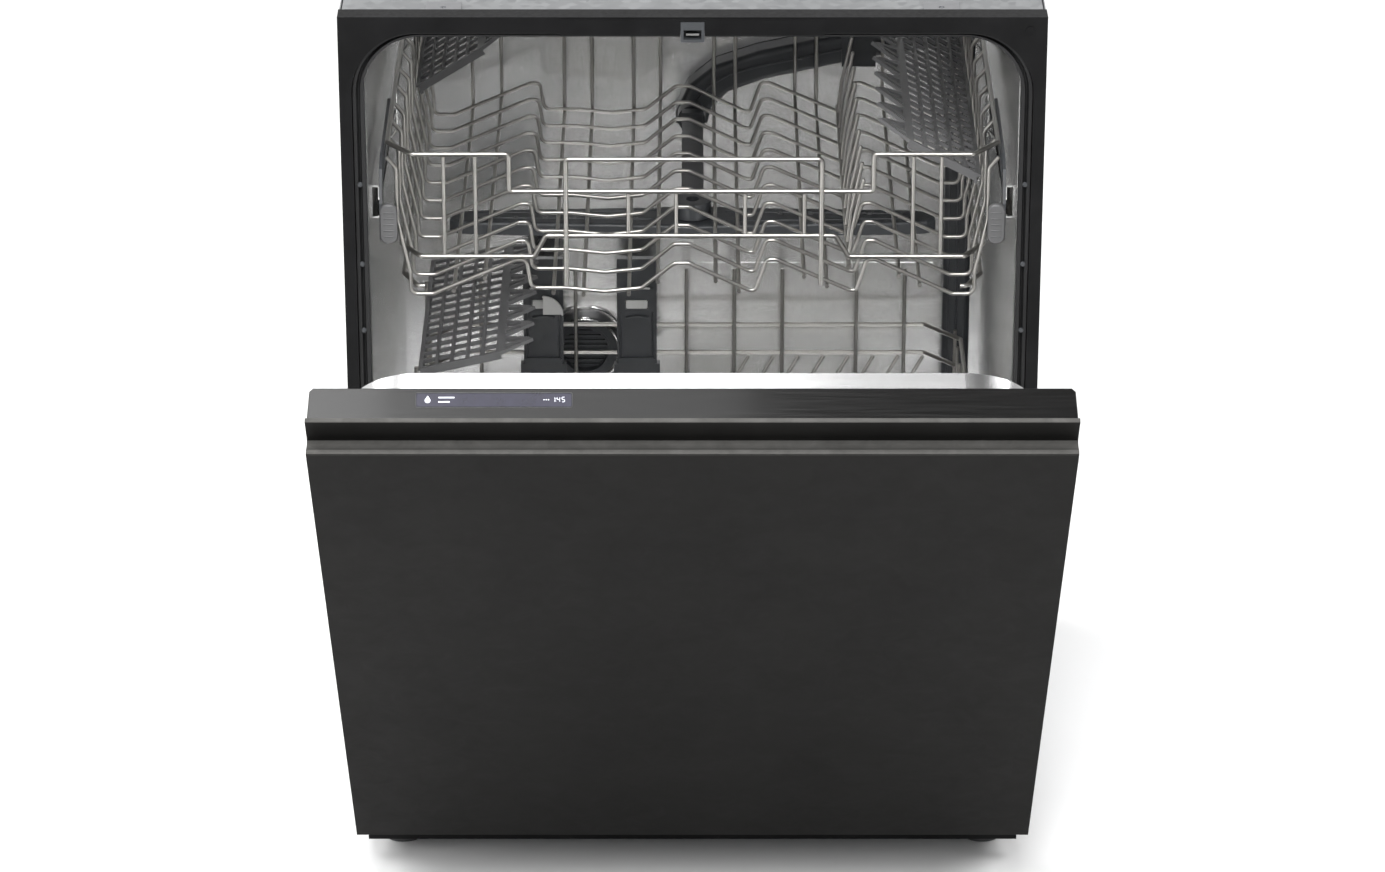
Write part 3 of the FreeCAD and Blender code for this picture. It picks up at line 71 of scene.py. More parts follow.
# ---------------------------------------------------------------- materials
def new_mat(name):
    m = bpy.data.materials.new(name)
    m.use_nodes = True
    nt = m.node_tree
    nt.nodes.clear()
    out = nt.nodes.new("ShaderNodeOutputMaterial")
    sh = nt.nodes.new("ShaderNodeBsdfPrincipled")
    nt.links.new(sh.outputs[0], out.inputs[0])
    return m, nt, sh


def coords(nt, scale=(1, 1, 1), rot=(0, 0, 0)):
    tc = nt.nodes.new("ShaderNodeTexCoord")
    mp = nt.nodes.new("ShaderNodeMapping")
    mp.inputs["Scale"].default_value = scale
    mp.inputs["Rotation"].default_value = rot
    nt.links.new(tc.outputs["Object"], mp.inputs["Vector"])
    return mp.outputs["Vector"]


def noise(nt, vec, scale, detail=4, rough=0.55, distort=0.0):
    n = nt.nodes.new("ShaderNodeTexNoise")
    n.inputs["Scale"].default_value = scale
    n.inputs["Detail"].default_value = detail
    n.inputs["Roughness"].default_value = rough
    n.inputs["Distortion"].default_value = distort
    nt.links.new(vec, n.inputs["Vector"])
    return n.outputs["Fac"]


def voronoi(nt, vec, scale, feature="F1", out="Distance"):
    n = nt.nodes.new("ShaderNodeTexVoronoi")
    n.feature = feature
    n.inputs["Scale"].default_value = scale
    nt.links.new(vec, n.inputs["Vector"])
    return n.outputs[out]


def ramp(nt, fac, stops):
    r = nt.nodes.new("ShaderNodeValToRGB")
    el = r.color_ramp.elements
    while len(el) < len(stops):
        el.new(0.5)
    for e, (pos, col) in zip(el, stops):
        e.position = pos
        e.color = (*col, 1)
    nt.links.new(fac, r.inputs["Fac"])
    return r.outputs["Color"]


def span(nt, fac, a, b, lo, hi):
    m = nt.nodes.new("ShaderNodeMapRange")
    m.inputs["From Min"].default_value = a
    m.inputs["From Max"].default_value = b
    m.inputs["To Min"].default_value = lo
    m.inputs["To Max"].default_value = hi
    nt.links.new(fac, m.inputs["Value"])
    return m.outputs["Result"]


def math_node(nt, op, a, b):
    m = nt.nodes.new("ShaderNodeMath")
    m.operation = op
    for k, v in enumerate((a, b)):
        if isinstance(v, (int, float)):
            m.inputs[k].default_value = v
        else:
            nt.links.new(v, m.inputs[k])
    return m.outputs[0]


def bump(nt, sh, height, strength, distance, chain=None):
    b = nt.nodes.new("ShaderNodeBump")
    b.inputs["Strength"].default_value = strength
    b.inputs["Distance"].default_value = distance
    nt.links.new(height, b.inputs["Height"])
    if chain is not None:
        nt.links.new(chain, b.inputs["Normal"])
    nt.links.new(b.outputs["Normal"], sh.inputs["Normal"])
    return b.outputs["Normal"]


def shade(c, k):
    return tuple(max(0.0, min(1.0, v * k)) for v in c)


def steel(name, base, r_lo, r_hi, brush=(6, 6, 900), bump_s=0.08, streak=0.10, aniso=0.0, spots=True, wave=9.0):
    """Stainless steel: fine grain drawn out along the long way of the sheet, faint water marks, uneven gloss."""
    m, nt, sh = new_mat(name)
    sh.inputs["Metallic"].default_value = 1.0
    sh.inputs["Anisotropic"].default_value = aniso
    fine = noise(nt, coords(nt, brush), 1.0, 5, 0.6)
    cloud = noise(nt, coords(nt), 7.0, 4, 0.55, 0.3)
    mixv = math_node(nt, "ADD", math_node(nt, "MULTIPLY", fine, 0.45), math_node(nt, "MULTIPLY", cloud, 0.55))
    nt.links.new(ramp(nt, mixv, [(0.25, shade(base, 1 - streak)), (0.52, base), (0.8, shade(base, 1 + streak * 0.8))]), sh.inputs["Base Color"])
    rr = span(nt, mixv, 0.25, 0.75, r_lo, r_hi)
    if spots:
        v = voronoi(nt, coords(nt), 95.0)
        ring = span(nt, v, 0.02, 0.16, 0.03, 0.0)
        rr = math_node(nt, "ADD", rr, ring)
    nt.links.new(rr, sh.inputs["Roughness"])
    bump(nt, sh, noise(nt, coords(nt), wave, 2, 0.4), bump_s, 0.0015)
    return m


def plastic(name, base, r_lo, r_hi, grain=1500, bump_s=0.25, vary=0.16, dist=0.0001, coat=0.0, spec=0.5):
    """Moulded plastic: spark-eroded grain, slight mottling and scuffing."""
    m, nt, sh = new_mat(name)
    sh.inputs["Specular IOR Level"].default_value = spec
    if coat:
        sh.inputs["Coat Weight"].default_value = coat
        sh.inputs["Coat Roughness"].default_value = 0.06
    v = coords(nt)
    cloud = noise(nt, v, 28.0, 5, 0.6)
    nt.links.new(ramp(nt, cloud, [(0.3, shade(base, 1 - vary)), (0.5, base), (0.72, shade(base, 1 + vary))]), sh.inputs["Base Color"])
    scuff = noise(nt, coords(nt, (1, 1, 2.5)), 160.0, 6, 0.7, 1.2)
    mixv = math_node(nt, "ADD", math_node(nt, "MULTIPLY", cloud, 0.6), math_node(nt, "MULTIPLY", scuff, 0.4))
    nt.links.new(span(nt, mixv, 0.3, 0.7, r_lo, r_hi), sh.inputs["Roughness"])
    g = voronoi(nt, v, grain)
    bump(nt, sh, g, bump_s, dist)
    return m


def build_materials():
    M = {}
    # black enamelled frame: thin orange peel, dust in the gloss
    m, nt, sh = new_mat("frame_black_paint")
    sh.inputs["Specular IOR Level"].default_value = 0.10
    v = coords(nt)
    cl = noise(nt, v, 22, 4)
    nt.links.new(ramp(nt, cl, [(0.3, (0.0052, 0.0052, 0.0054)), (0.6, (0.0082, 0.0082, 0.0086)), (0.8, (0.0125, 0.0125, 0.013))]), sh.inputs["Base Color"])
    nt.links.new(span(nt, noise(nt, v, 240, 6, 0.65), 0.3, 0.7, 0.30, 0.46), sh.inputs["Roughness"])
    bump(nt, sh, noise(nt, v, 900, 2), 0.12, 0.0002)
    M["frame_black"] = m

    M["tub_steel"] = steel("tub_stainless", (0.85, 0.85, 0.85), 0.21, 0.25, brush=(8, 8, 240), bump_s=0.08, streak=0.025, spots=False, wave=5.0)
    # galvanised sheet: zinc spangle
    m, nt, sh = new_mat("casing_galvanised")
    sh.inputs["Metallic"].default_value = 0.85
    v = coords(nt)
    cell = voronoi(nt, coords(nt, (1, 1, 1.4)), 130, out="Color")
    bw = nt.nodes.new("ShaderNodeRGBToBW")
    nt.links.new(cell, bw.inputs[0])
    cl = math_node(nt, "ADD", math_node(nt, "MULTIPLY", bw.outputs[0], 0.6), math_node(nt, "MULTIPLY", noise(nt, v, 6, 5), 0.4))
    nt.links.new(ramp(nt, cl, [(0.25, (0.33, 0.337, 0.347)), (0.5, (0.375, 0.382, 0.390)), (0.75, (0.425, 0.432, 0.440))]), sh.inputs["Base Color"])
    nt.links.new(span(nt, cl, 0.2, 0.8, 0.34, 0.52), sh.inputs["Roughness"])
    bump(nt, sh, noise(nt, v, 700, 3), 0.08, 0.0002)
    M["casing_steel"] = m

    M["seal_rubber"] = plastic("seal_epdm", (0.011, 0.011, 0.0115), 0.42, 0.62, grain=2600, bump_s=0.2, vary=0.25, spec=0.35)
    M["dark_plastic"] = plastic("plastic_anthracite", (0.040, 0.043, 0.047), 0.30, 0.46, grain=1900, bump_s=0.18, vary=0.14)
    M["grey_plastic"] = plastic("plastic_grey", (0.098, 0.098, 0.100), 0.36, 0.5, grain=1900, bump_s=0.18, vary=0.10)
    M["base_plastic"] = plastic("plastic_base", (0.030, 0.030, 0.031), 0.45, 0.62, grain=900, bump_s=0.3, vary=0.2)
    M["foot_plastic"] = plastic("plastic_foot", (0.050, 0.050, 0.052), 0.42, 0.6, grain=900, bump_s=0.3, vary=0.2)
    M["light_plastic"] = plastic("plastic_light", (0.60, 0.60, 0.585), 0.34, 0.48, grain=1200, bump_s=0.15, vary=0.06)

    # high gloss black fascia: almost a mirror, faint fine hairlines and wiped dust
    m, nt, sh = new_mat("panel_gloss_black")
    sh.inputs["Coat Weight"].default_value = 0.35
    sh.inputs["Coat Roughness"].default_value = 0.08
    sh.inputs["Specular IOR Level"].default_value = 0.5
    v = coords(nt)
    dust = noise(nt, v, 900, 3, 0.7)
    nt.links.new(ramp(nt, dust, [(0.35, (0.0040, 0.0039, 0.0038)), (0.7, (0.0056, 0.0055, 0.0054)), (0.86, (0.011, 0.0108, 0.0105))]), sh.inputs["Base Color"])
    hair = noise(nt, coords(nt, (18, 900, 900)), 1.0, 3, 0.6)
    nt.links.new(span(nt, hair, 0.3, 0.7, 0.14, 0.22), sh.inputs["Roughness"])
    bump(nt, sh, hair, 0.02, 0.0001)
    M["panel_gloss"] = m

    m, nt, sh = new_mat("display_glass")
    sh.inputs["Coat Weight"].default_value = 0.5
    sh.inputs["Coat Roughness"].default_value = 0.04
    v = coords(nt)
    cl = noise(nt, v, 60, 4)
    nt.links.new(ramp(nt, cl, [(0.3, (0.016, 0.0155, 0.029)), (0.7, (0.024, 0.023, 0.042))]), sh.inputs["Base Color"])
    nt.links.new(span(nt, noise(nt, v, 500, 3), 0.3, 0.7, 0.10, 0.18), sh.inputs["Roughness"])
    bump(nt, sh, noise(nt, v, 500, 3), 0.02, 0.0001)
    M["display"] = m

    # charcoal furniture front: ultra matt, cloudy mottling over a very fine felted surface; faces that point up along
    # the door get a painted highlight
    m, nt, sh = new_mat("front_charcoal_matt")
    sh.inputs["Specular IOR Level"].default_value = 0.05
    sh.inputs["Sheen Weight"].default_value = 0.01
    sh.inputs["Sheen Roughness"].default_value = 0.5
    v = coords(nt)
    big = noise(nt, v, 9.0, 6, 0.62, 0.6)
    mid = noise(nt, v, 42.0, 6, 0.68, 0.8)
    cl = math_node(nt, "ADD", math_node(nt, "MULTIPLY", big, 0.5), math_node(nt, "MULTIPLY", mid, 0.5))
    face = ramp(nt, cl, [(0.30, (0.0056, 0.0054, 0.0051)), (0.47, (0.0074, 0.0071, 0.0067)), (0.56, (0.0086, 0.0083, 0.0078)), (0.72, (0.0114, 0.0109, 0.0103))])
    # painted highlight: a much lighter colour on faces that point up along the door, where the overhead light falls on
    # the top edge and the grip lip
    edge = ramp(nt, mid, [(0.3, (0.060, 0.059, 0.056)), (0.7, (0.095, 0.093, 0.089))])
    tcn = nt.nodes.new("ShaderNodeTexCoord")
    painted_highlight_dot = nt.nodes.new("ShaderNodeVectorMath")
    painted_highlight_dot.operation = "DOT_PRODUCT"
    painted_highlight_dot.inputs[1].default_value = (0, -SN, CS)
    nt.links.new(tcn.outputs["Normal"], painted_highlight_dot.inputs[0])
    mix = nt.nodes.new("ShaderNodeMix")
    mix.data_type = "RGBA"
    nt.links.new(span(nt, painted_highlight_dot.outputs["Value"], 0.25, 0.95, 0.0, 1.0), mix.inputs[0])
    nt.links.new(face, mix.inputs[6])
    nt.links.new(edge, mix.inputs[7])
    nt.links.new(mix.outputs[2], sh.inputs["Base Color"])
    nt.links.new(span(nt, mid, 0.3, 0.7, 0.50, 0.66), sh.inputs["Roughness"])
    felt = noise(nt, v, 1500, 4, 0.7)
    n1 = bump(nt, sh, mid, 0.10, 0.0006)
    bump(nt, sh, felt, 0.16, 0.0002, n1)
    M["front_board"] = m

    M["wire_steel"] = steel("wire_stainless", (0.36, 0.350, 0.330), 0.26, 0.38, brush=(260, 260, 260), bump_s=0.04, streak=0.14, spots=False, wave=300)
    M["bright_steel"] = steel("steel_polished", (0.70, 0.70, 0.69), 0.10, 0.20, brush=(500, 30, 500), bump_s=0.03, streak=0.06, wave=120)
    M["zinc_steel"] = steel("steel_zinc_plated", (0.50, 0.505, 0.52), 0.28, 0.42, brush=(160, 160, 160), bump_s=0.08, streak=0.15, wave=200)
    return M


M = build_materials()
SLOTS = {m["slot"] for m in frame["record"]["materials"]}
for row in frame["record"]["subparts"]:
    o = NODES[row["node"]]
    o.data.materials.clear()
    o.data.materials.append(M[row["material_slot"]])

# ---------------------------------------------------------------- mesh helpers
def finish_piece(name, bm, mat, body, smooth=True, replaces=(), bevel=0.0, subsurf=0, angle=35):
    bmesh.ops.remove_doubles(bm, verts=bm.verts, dist=1e-7)
    bmesh.ops.recalc_face_normals(bm, faces=bm.faces)
    me = bpy.data.meshes.new(name)
    bm.to_mesh(me)
    bm.free()
    me.materials.append(mat)
    for f in me.polygons:
        f.use_smooth = smooth
    o = bpy.data.objects.new(name, me)
    scene.collection.objects.link(o)
    if bevel:
        b = o.modifiers.new("edge", "BEVEL")
        b.width = bevel
        b.segments = 2
        b.limit_method = "ANGLE"
        b.angle_limit = math.radians(angle)
    if subsurf:
        s = o.modifiers.new("round", "SUBSURF")
        s.levels = s.render_levels = subsurf
    if smooth:
        me.set_sharp_from_angle(angle=math.radians(38))
    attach(o, body)
    if replaces:
        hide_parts(*replaces)
    return o


def frame_from(axis):
    a = Vector(axis).normalized()
    u = a.orthogonal().normalized()
    return a, u, a.cross(u)


def lathe(bm, centre, axis, profile, seg=40, closed=False):
    """Turns a profile of (radius, distance along the axis) about an axis; metres."""
    a, u, v = frame_from(axis)
    rings = []
    for r, h in profile:
        if r < 1e-9:
            rings.append([bm.verts.new(centre + a * h)])
        else:
            rings.append([bm.verts.new(centre + a * h + (u * math.cos(2 * math.pi * k / seg) + v * math.sin(2 * math.pi * k / seg)) * r) for k in range(seg)])
    pairs = list(zip(rings[:-1], rings[1:])) + ([(rings[-1], rings[0])] if closed else [])
    for p, q in pairs:
        for k in range(seg):
            n = (k + 1) % seg
            if len(p) == 1 and len(q) == 1:
                continue
            if len(p) == 1:
                bm.faces.new((p[0], q[k], q[n]))
            elif len(q) == 1:
                bm.faces.new((p[k], p[n], q[0]))
            else:
                bm.faces.new((p[k], p[n], q[n], q[k]))


def tube(bm, pts, radius, seg=10, closed=False, taper=None, cap=True):
    """A round bar along points, with domed ends."""
    pts = [Vector(p) for p in pts]
    n = len(pts)
    rings = []
    up = None
    for i in range(n):
        a = pts[(i - 1) % n] if (closed or i > 0) else pts[i]
        b = pts[(i + 1) % n] if (closed or i < n - 1) else pts[i]
        t = (b - a).normalized()
        if up is None:
            up = t.orthogonal().normalized()
        up = (up - t * up.dot(t)).normalized()
        w = t.cross(up)
        r = radius * (taper[i] if taper else 1)
        rings.append([bm.verts.new(pts[i] + (up * math.cos(2 * math.pi * k / seg) + w * math.sin(2 * math.pi * k / seg)) * r) for k in range(seg)])
    m = n if closed else n - 1
    for i in range(m):
        p, q = rings[i], rings[(i + 1) % n]
        for k in range(seg):
            bm.faces.new((p[k], p[(k + 1) % seg], q[(k + 1) % seg], q[k]))
    if not closed and cap:
        for ring, tip, nxt in ((rings[0], pts[0], pts[1]), (rings[-1], pts[-1], pts[-2])):
            d = (tip - nxt).normalized()
            inner = [bm.verts.new(tip + (v.co - tip) * 0.7 + d * radius * 0.5) for v in ring]
            top = bm.verts.new(tip + d * radius * 0.75)
            for k in range(seg):
                bm.faces.new((ring[k], ring[(k + 1) % seg], inner[(k + 1) % seg], inner[k]))
                bm.faces.new((inner[k], inner[(k + 1) % seg], top))


def slab(bm, loop, direction, chamfer=0.0):
    """A flat shape pushed along a direction, its far rim eased by a small chamfer."""
    d = Vector(direction)
    n = len(loop)
    c = sum(loop, Vector()) / n
    base = [bm.verts.new(p) for p in loop]
    rings = [base]
    if chamfer:
        dl = d.length
        rings.append([bm.verts.new(p + d * (1 - chamfer / dl)) for p in loop])
        rings.append([bm.verts.new(p + d + (c - p).normalized() * chamfer) for p in loop])
    else:
        rings.append([bm.verts.new(p + d) for p in loop])
    for p, q in zip(rings[:-1], rings[1:]):
        for k in range(n):
            bm.faces.new((p[k], p[(k + 1) % n], q[(k + 1) % n], q[k]))
    bm.faces.new(list(reversed(base)))
    bm.faces.new(rings[-1])


def round_rect(cx, cy, hw, hh, r, seg=6):
    out = []
    for sx, sy, a0 in ((1, 1, 0), (-1, 1, 90), (-1, -1, 180), (1, -1, 270)):
        for k in range(seg + 1):
            a = math.radians(a0 + 90 * k / seg)
            out.append((cx + sx * (hw - r) + r * math.cos(a), cy + sy * (hh - r) + r * math.sin(a)))
    return out


def tub_path(half, low, high, r, p, seg=12):
    cx, cz = 0, (low + high) / 2
    return [P(x, p, z) for x, z in round_rect(cx, cz, half, (high - low) / 2, r, seg)]


# ---------------------------------------------------------------- casing sheets with pressed fields
def pressed_sheet(bm, origin, u, v, n, w, h, fields, depth, step=0.008, thick=0.0008, soft=0.007):
    """A sheet w by h with rounded fields pressed inwards along n; two skins joined at the rim."""
    u, v, n = Vector(u), Vector(v), Vector(n)

    def level(a, b):
        d = 0.0
        for (cx, cy, hw, hh, r, k) in fields:
            qx, qy = abs(a - cx) - hw + r, abs(b - cy) - hh + r
            sd = math.hypot(max(qx, 0), max(qy, 0)) + min(max(qx, qy), 0) - r
            t = min(1.0, max(0.0, -sd / soft))
            d = max(d, k * t * t * (3 - 2 * t))
        return d * depth

    def lines(length, cuts):
        out = {0.0, length}
        m = max(2, int(length / step))
        out |= {length * i / m for i in range(m + 1)}
        for c in cuts:
            for q in (0.0, 0.0025, 0.005, 0.0075):
                if 0 < c + q < length:
                    out.add(c + q)
        vals = sorted(out)
        keep = [vals[0]]
        for x in vals[1:]:
            if x - keep[-1] > 0.0016:
                keep.append(x)
        keep[-1] = length
        return keep

    us = lines(w, [f[0] - f[2] for f in fields] + [f[0] + f[2] - 0.0075 for f in fields])
    vs = lines(h, [f[1] - f[3] for f in fields] + [f[1] + f[3] - 0.0075 for f in fields])
    grid = [[bm.verts.new(origin + u * a + v * b + n * level(a, b)) for b in vs] for a in us]
    back = [[bm.verts.new(g.co + n * thick) for g in col] for col in grid]
    A, B = len(us), len(vs)
    for i in range(A - 1):
        for j in range(B - 1):
            bm.faces.new((grid[i][j], grid[i + 1][j], grid[i + 1][j + 1], grid[i][j + 1]))
            bm.faces.new((back[i][j], back[i][j + 1], back[i + 1][j + 1], back[i + 1][j]))
    for i in range(A - 1):
        bm.faces.new((grid[i][0], back[i][0], back[i + 1][0], grid[i + 1][0]))
        bm.faces.new((grid[i][-1], grid[i + 1][-1], back[i + 1][-1], back[i][-1]))
    for j in range(B - 1):
        bm.faces.new((grid[0][j], grid[0][j + 1], back[0][j + 1], back[0][j]))
        bm.faces.new((grid[-1][j], back[-1][j], back[-1][j + 1], grid[-1][j + 1]))


lo_c, hi_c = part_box("casing_panels")
bm = bmesh.new()
for s in (-1, 1):
    x = lo_c.x + 0.0004 if s < 0 else hi_c.x - 0.0004
    y0, y1 = P(0, 20.2, 0).y, P(0, 548.8, 0).y
    z0, z1 = lo_c.z + 0.016, hi_c.z
    w, h = y1 - y0, 0.818 - 0.062
    org = Vector((x, y0, 0.062))
    pressed_sheet(bm, org, (0, 1, 0), (0, 0, 1), (-s, 0, 0), w, h,
                  [(w * 0.5, h * 0.30, w * 0.40, h * 0.20, 0.035, 1.0), (w * 0.5, h * 0.76, w * 0.40, h * 0.17, 0.035, 1.0),
                   (w * 0.5, 0.035, w * 0.40, 0.012, 0.012, 0.7)], 0.0026)
    # folded lip behind
    for k in range(1):
        a = [Vector((s * 0.2972, P(0, 548.8, 0).y, 0.110)), Vector((s * 0.2860, P(0, 548.8, 0).y, 0.110)),
             Vector((s * 0.2860, P(0, 548.8, 0).y, 0.8165)), Vector((s * 0.2972, P(0, 548.8, 0).y, 0.8165))]
        slab(bm, a, (0, -0.0012, 0), 0.0004)
casing_side = finish_piece("casing_side_sheets", bm, M["casing_steel"], "cabinet", replaces=("casing_panels",))

bm = bmesh.new()
w, h = 0.592, 0.818 - 0.112
pressed_sheet(bm, Vector((0.296, P(0, 550, 0).y, 0.112)), (-1, 0, 0), (0, 0, 1), (0, -1, 0), w, h,
              [(w * 0.5, h * 0.27, w * 0.40, h * 0.19, 0.03, 1.0), (w * 0.27, h * 0.70, w * 0.17, h * 0.20, 0.03, 1.0), (w * 0.73, h * 0.70, w * 0.17, h * 0.20, 0.03, 1.0),
               (w * 0.5, h * 0.955, 0.07, 0.011, 0.011, 1.0)], 0.0011)
finish_piece("casing_rear_sheet", bm, M["casing_steel"], "cabinet")

bm = bmesh.new()
w, h = 0.5916, 0.5284
pressed_sheet(bm, Vector((-0.2958, P(0, 20.2, 0).y, 0.8166)), (1, 0, 0), (0, 1, 0), (0, 0, -1), w, h,
              [(w * 0.5, h * 0.5, w * 0.38, h * 0.34, 0.04, 1.0), (w * 0.5, h * 0.92, w * 0.30, 0.008, 0.008, 0.6)], 0.0012)
finish_piece("casing_top_sheet", bm, M["casing_steel"], "cabinet")


# ---------------------------------------------------------------- screws with six-lobe sockets
def screw_head(bm, centre, axis, r=0.0032, h=0.0016, seg=24):
    a, u, v = frame_from(axis)
    outer = [(r * 1.0, 0.0), (r * 1.0, h * 0.35), (r * 0.86, h * 0.8), (r * 0.62, h)]
    rings = [[bm.verts.new(centre + a * hh + (u * math.cos(2 * math.pi * k / seg) + v * math.sin(2 * math.pi * k / seg)) * rr) for k in range(seg)] for rr, hh in outer]

    def lobe(k, big, small):
        return small + (big - small) * (0.5 + 0.5 * math.cos(6 * 2 * math.pi * k / seg))
    rings.append([bm.verts.new(centre + a * h + (u * math.cos(2 * math.pi * k / seg) + v * math.sin(2 * math.pi * k / seg)) * r * lobe(k, 0.50, 0.36)) for k in range(seg)])
    rings.append([bm.verts.new(centre + a * h * 0.3 + (u * math.cos(2 * math.pi * k / seg) + v * math.sin(2 * math.pi * k / seg)) * r * lobe(k, 0.46, 0.33)) for k in range(seg)])
    for p, q in zip(rings[:-1], rings[1:]):
        for k in range(seg):
            bm.faces.new((p[k], p[(k + 1) % seg], q[(k + 1) % seg], q[k]))
    bm.faces.new(rings[-1])
    bm.faces.new(list(reversed(rings[0])))


bm = bmesh.new()
for x in (-0.284, -0.142, 0.0, 0.142, 0.284):
    screw_head(bm, Vector((x, P(0, 550, 0).y, 0.8135)), (0, 1, 0), 0.0034, 0.0018)
    screw_head(bm, Vector((x, P(0, 550, 0).y, 0.1180)), (0, 1, 0), 0.0034, 0.0018)
for z in (0.30, 0.47, 0.64):
    for x in (-0.290, 0.290):
        screw_head(bm, Vector((x, P(0, 550, 0).y, z)), (0, 1, 0), 0.0034, 0.0018)
finish_piece("rear_sheet_screws", bm, M["zinc_steel"], "cabinet")

bm = bmesh.new()
for s in (-1, 1):
    for z in (0.668, 0.595, 0.5335, 0.40, 0.26):
        lathe(bm, P(s * 282.6, 4.05, z * 1000), (0, -1, 0), [(0.0023, -0.0004), (0.0023, 0.0004), (0.0019, 0.0009), (0.0008, 0.0011), (0, 0.0011)], 20)
finish_piece("frame_plugs", bm, M["dark_plastic"], "cabinet")

# ---------------------------------------------------------------- mouth of the tub: steel rim bead and rubber bulb
bm = bmesh.new()
tube(bm, tub_path(277.6, 129, 801.4, 48.4, 20.6, 14), 0.0009, 8, closed=True)
finish_piece("tub_rim_bead", bm, M["bright_steel"], "cabinet")
bm = bmesh.new()
for half, low, high, r, p, rad in ((282.3, 123, 803.2, 52, 13.2, 0.0017), (284.6, 120.5, 804.6, 53.5, 7.2, 0.0011)):
    # the lips stop either side of the latch catch in the middle of the top
    loop = tub_path(half, low, high, r, p, 14)
    k = min((i for i, q in enumerate(loop) if q.z > 0.79 and q.x < 0), key=lambda i: (-round(loop[i].z, 5), -loop[i].x))
    loop = loop[k:] + loop[:k]
    ends = (Vector((-0.0150, loop[0].y, loop[0].z)), Vector((0.0150, loop[-1].y, loop[-1].z)))
    tube(bm, [ends[0]] + loop + [ends[1]], rad, 10, closed=False)
seal_lips = finish_piece("door_seal_lips", bm, M["seal_rubber"], "cabinet")

# ---------------------------------------------------------------- back wall: vent trim, flow beads, duct rib
VX, VZ = -104, 298
bm = bmesh.new()
lathe(bm, P(VX, 507, VZ), (0, 1, 0), [(0.0312, 0.0002), (0.0324, -0.0010), (0.0334, -0.0004), (0.0336, 0.0022), (0.0322, 0.0030), (0.0310, 0.0022)], 64, closed=True)
finish_piece("vent_trim_ring", bm, M["bright_steel"], "cabinet")
bm = bmesh.new()
for k, rr in enumerate((0.0262, 0.0240)):
    lathe(bm, P(VX, 506.8, VZ), (0, 1, 0), [(rr + 0.0008, 0.0010), (rr, 0.0000), (rr - 0.0008, 0.0010), (rr - 0.0006, 0.0030), (rr + 0.0006, 0.0030)], 56, closed=True)
tube(bm, [P(VX, 508, VZ - 24.5), P(VX, 507, VZ - 27), P(VX, 506.2, VZ - 31)], 0.0014, 10)
finish_piece("vent_inner_rings", bm, M["dark_plastic"], "cabinet")

bm = bmesh.new()
for s in (-1, 1):
    pts = [P(VX + s * 4.2, 519.4, VZ + 40)]
    for k in range(0, 21):
        a = math.radians(90 - s * (12 + k * 7.4))
        pts.append(P(VX + 41 * math.cos(a), 519.4, VZ + 41 * math.sin(a)))
    pts.append(P(VX + s * 6, 519.4, VZ - 48))
    pts.append(P(VX + s * 6, 519.4, 150))
    tube(bm, pts, 0.0016, 8)
finish_piece("back_wall_beads", bm, M["tub_steel"], "cabinet")

bm = bmesh.new()
tube(bm, [P(253, 492.6, z) for z in (136, 250, 380, 500, 590)] + [P(250.5, 492.6, 610), P(243, 492.6, 622), P(230, 492.6, 627), P(212, 492.6, 625), P(160, 492.6, 616), P(110, 492.6, 605.5), P(60, 492.6, 594.5),
          P(34, 492.6, 587), P(16, 492.6, 576), P(4, 492.6, 562)], 0.0012, 8)
tube(bm, [P(245, 492.8, z) for z in (136, 300, 450, 590)] + [P(240, 492.8, 607)], 0.0008, 8)
tube(bm, [P(261, 492.8, z) for z in (136, 300, 450, 606)], 0.0008, 8)
finish_piece("water_duct_ribs", bm, M["dark_plastic"], "cabinet")

# ---------------------------------------------------------------- spray arms: nozzles, rims, end caps
def arm_parts(body, centre, low, thick, half, tag):
    bm = bmesh.new()
    top = low + thick
    for k in range(6):
        x = 52 + k * (half - 84) / 5.0
        for sg, off in ((1, 5), (-1, -5)):
            c = P(sg * x, centre + off, top)
            lathe(bm, c, (0, 0, 1), [(0.0032, -0.0003), (0.0031, 0.0006), (0.0024, 0.0012), (0.0017, 0.0010), (0.0014, -0.0010), (0.0027, -0.0012)], 22, closed=True)
    finish_piece(tag + "_nozzles", bm, M["grey_plastic"], body)
    bm = bmesh.new()
    for sg in (-1, 1):
        a = P(sg * (half - 9), centre, low + thick * 0.52)
        lathe(bm, a, (sg, 0, 0), [(0, -0.003), (0.0052, -0.003), (0.0056, 0.002), (0.0052, 0.0068), (0.0036, 0.0086), (0, 0.0089)], 24)
    finish_piece(tag + "_end_caps", bm, M["bright_steel"], body)
    bm = bmesh.new()
    for sg in (-1, 1):
        tube(bm, [P(sg * x, centre + sg * 8.5 * (1 - (x - 40) / (half * 1.7)), top + 0.1) for x in (30, 60, 100, 140, 175, half - 22)], 0.0009, 8)
        tube(bm, [P(sg * x, centre - sg * 12.5 * (1 - (x - 40) / (half * 1.5)), top - 0.1) for x in (30, 60, 100, 140, 175, half - 22)], 0.0009, 8)
    finish_piece(tag + "_ribs", bm, M["dark_plastic"], body)


arm_parts("upper_spray_arm", 250, 529, 12, 219, "upper_arm")
arm_parts("lower_spray_arm", 262, 150, 12, 228, "lower_arm")

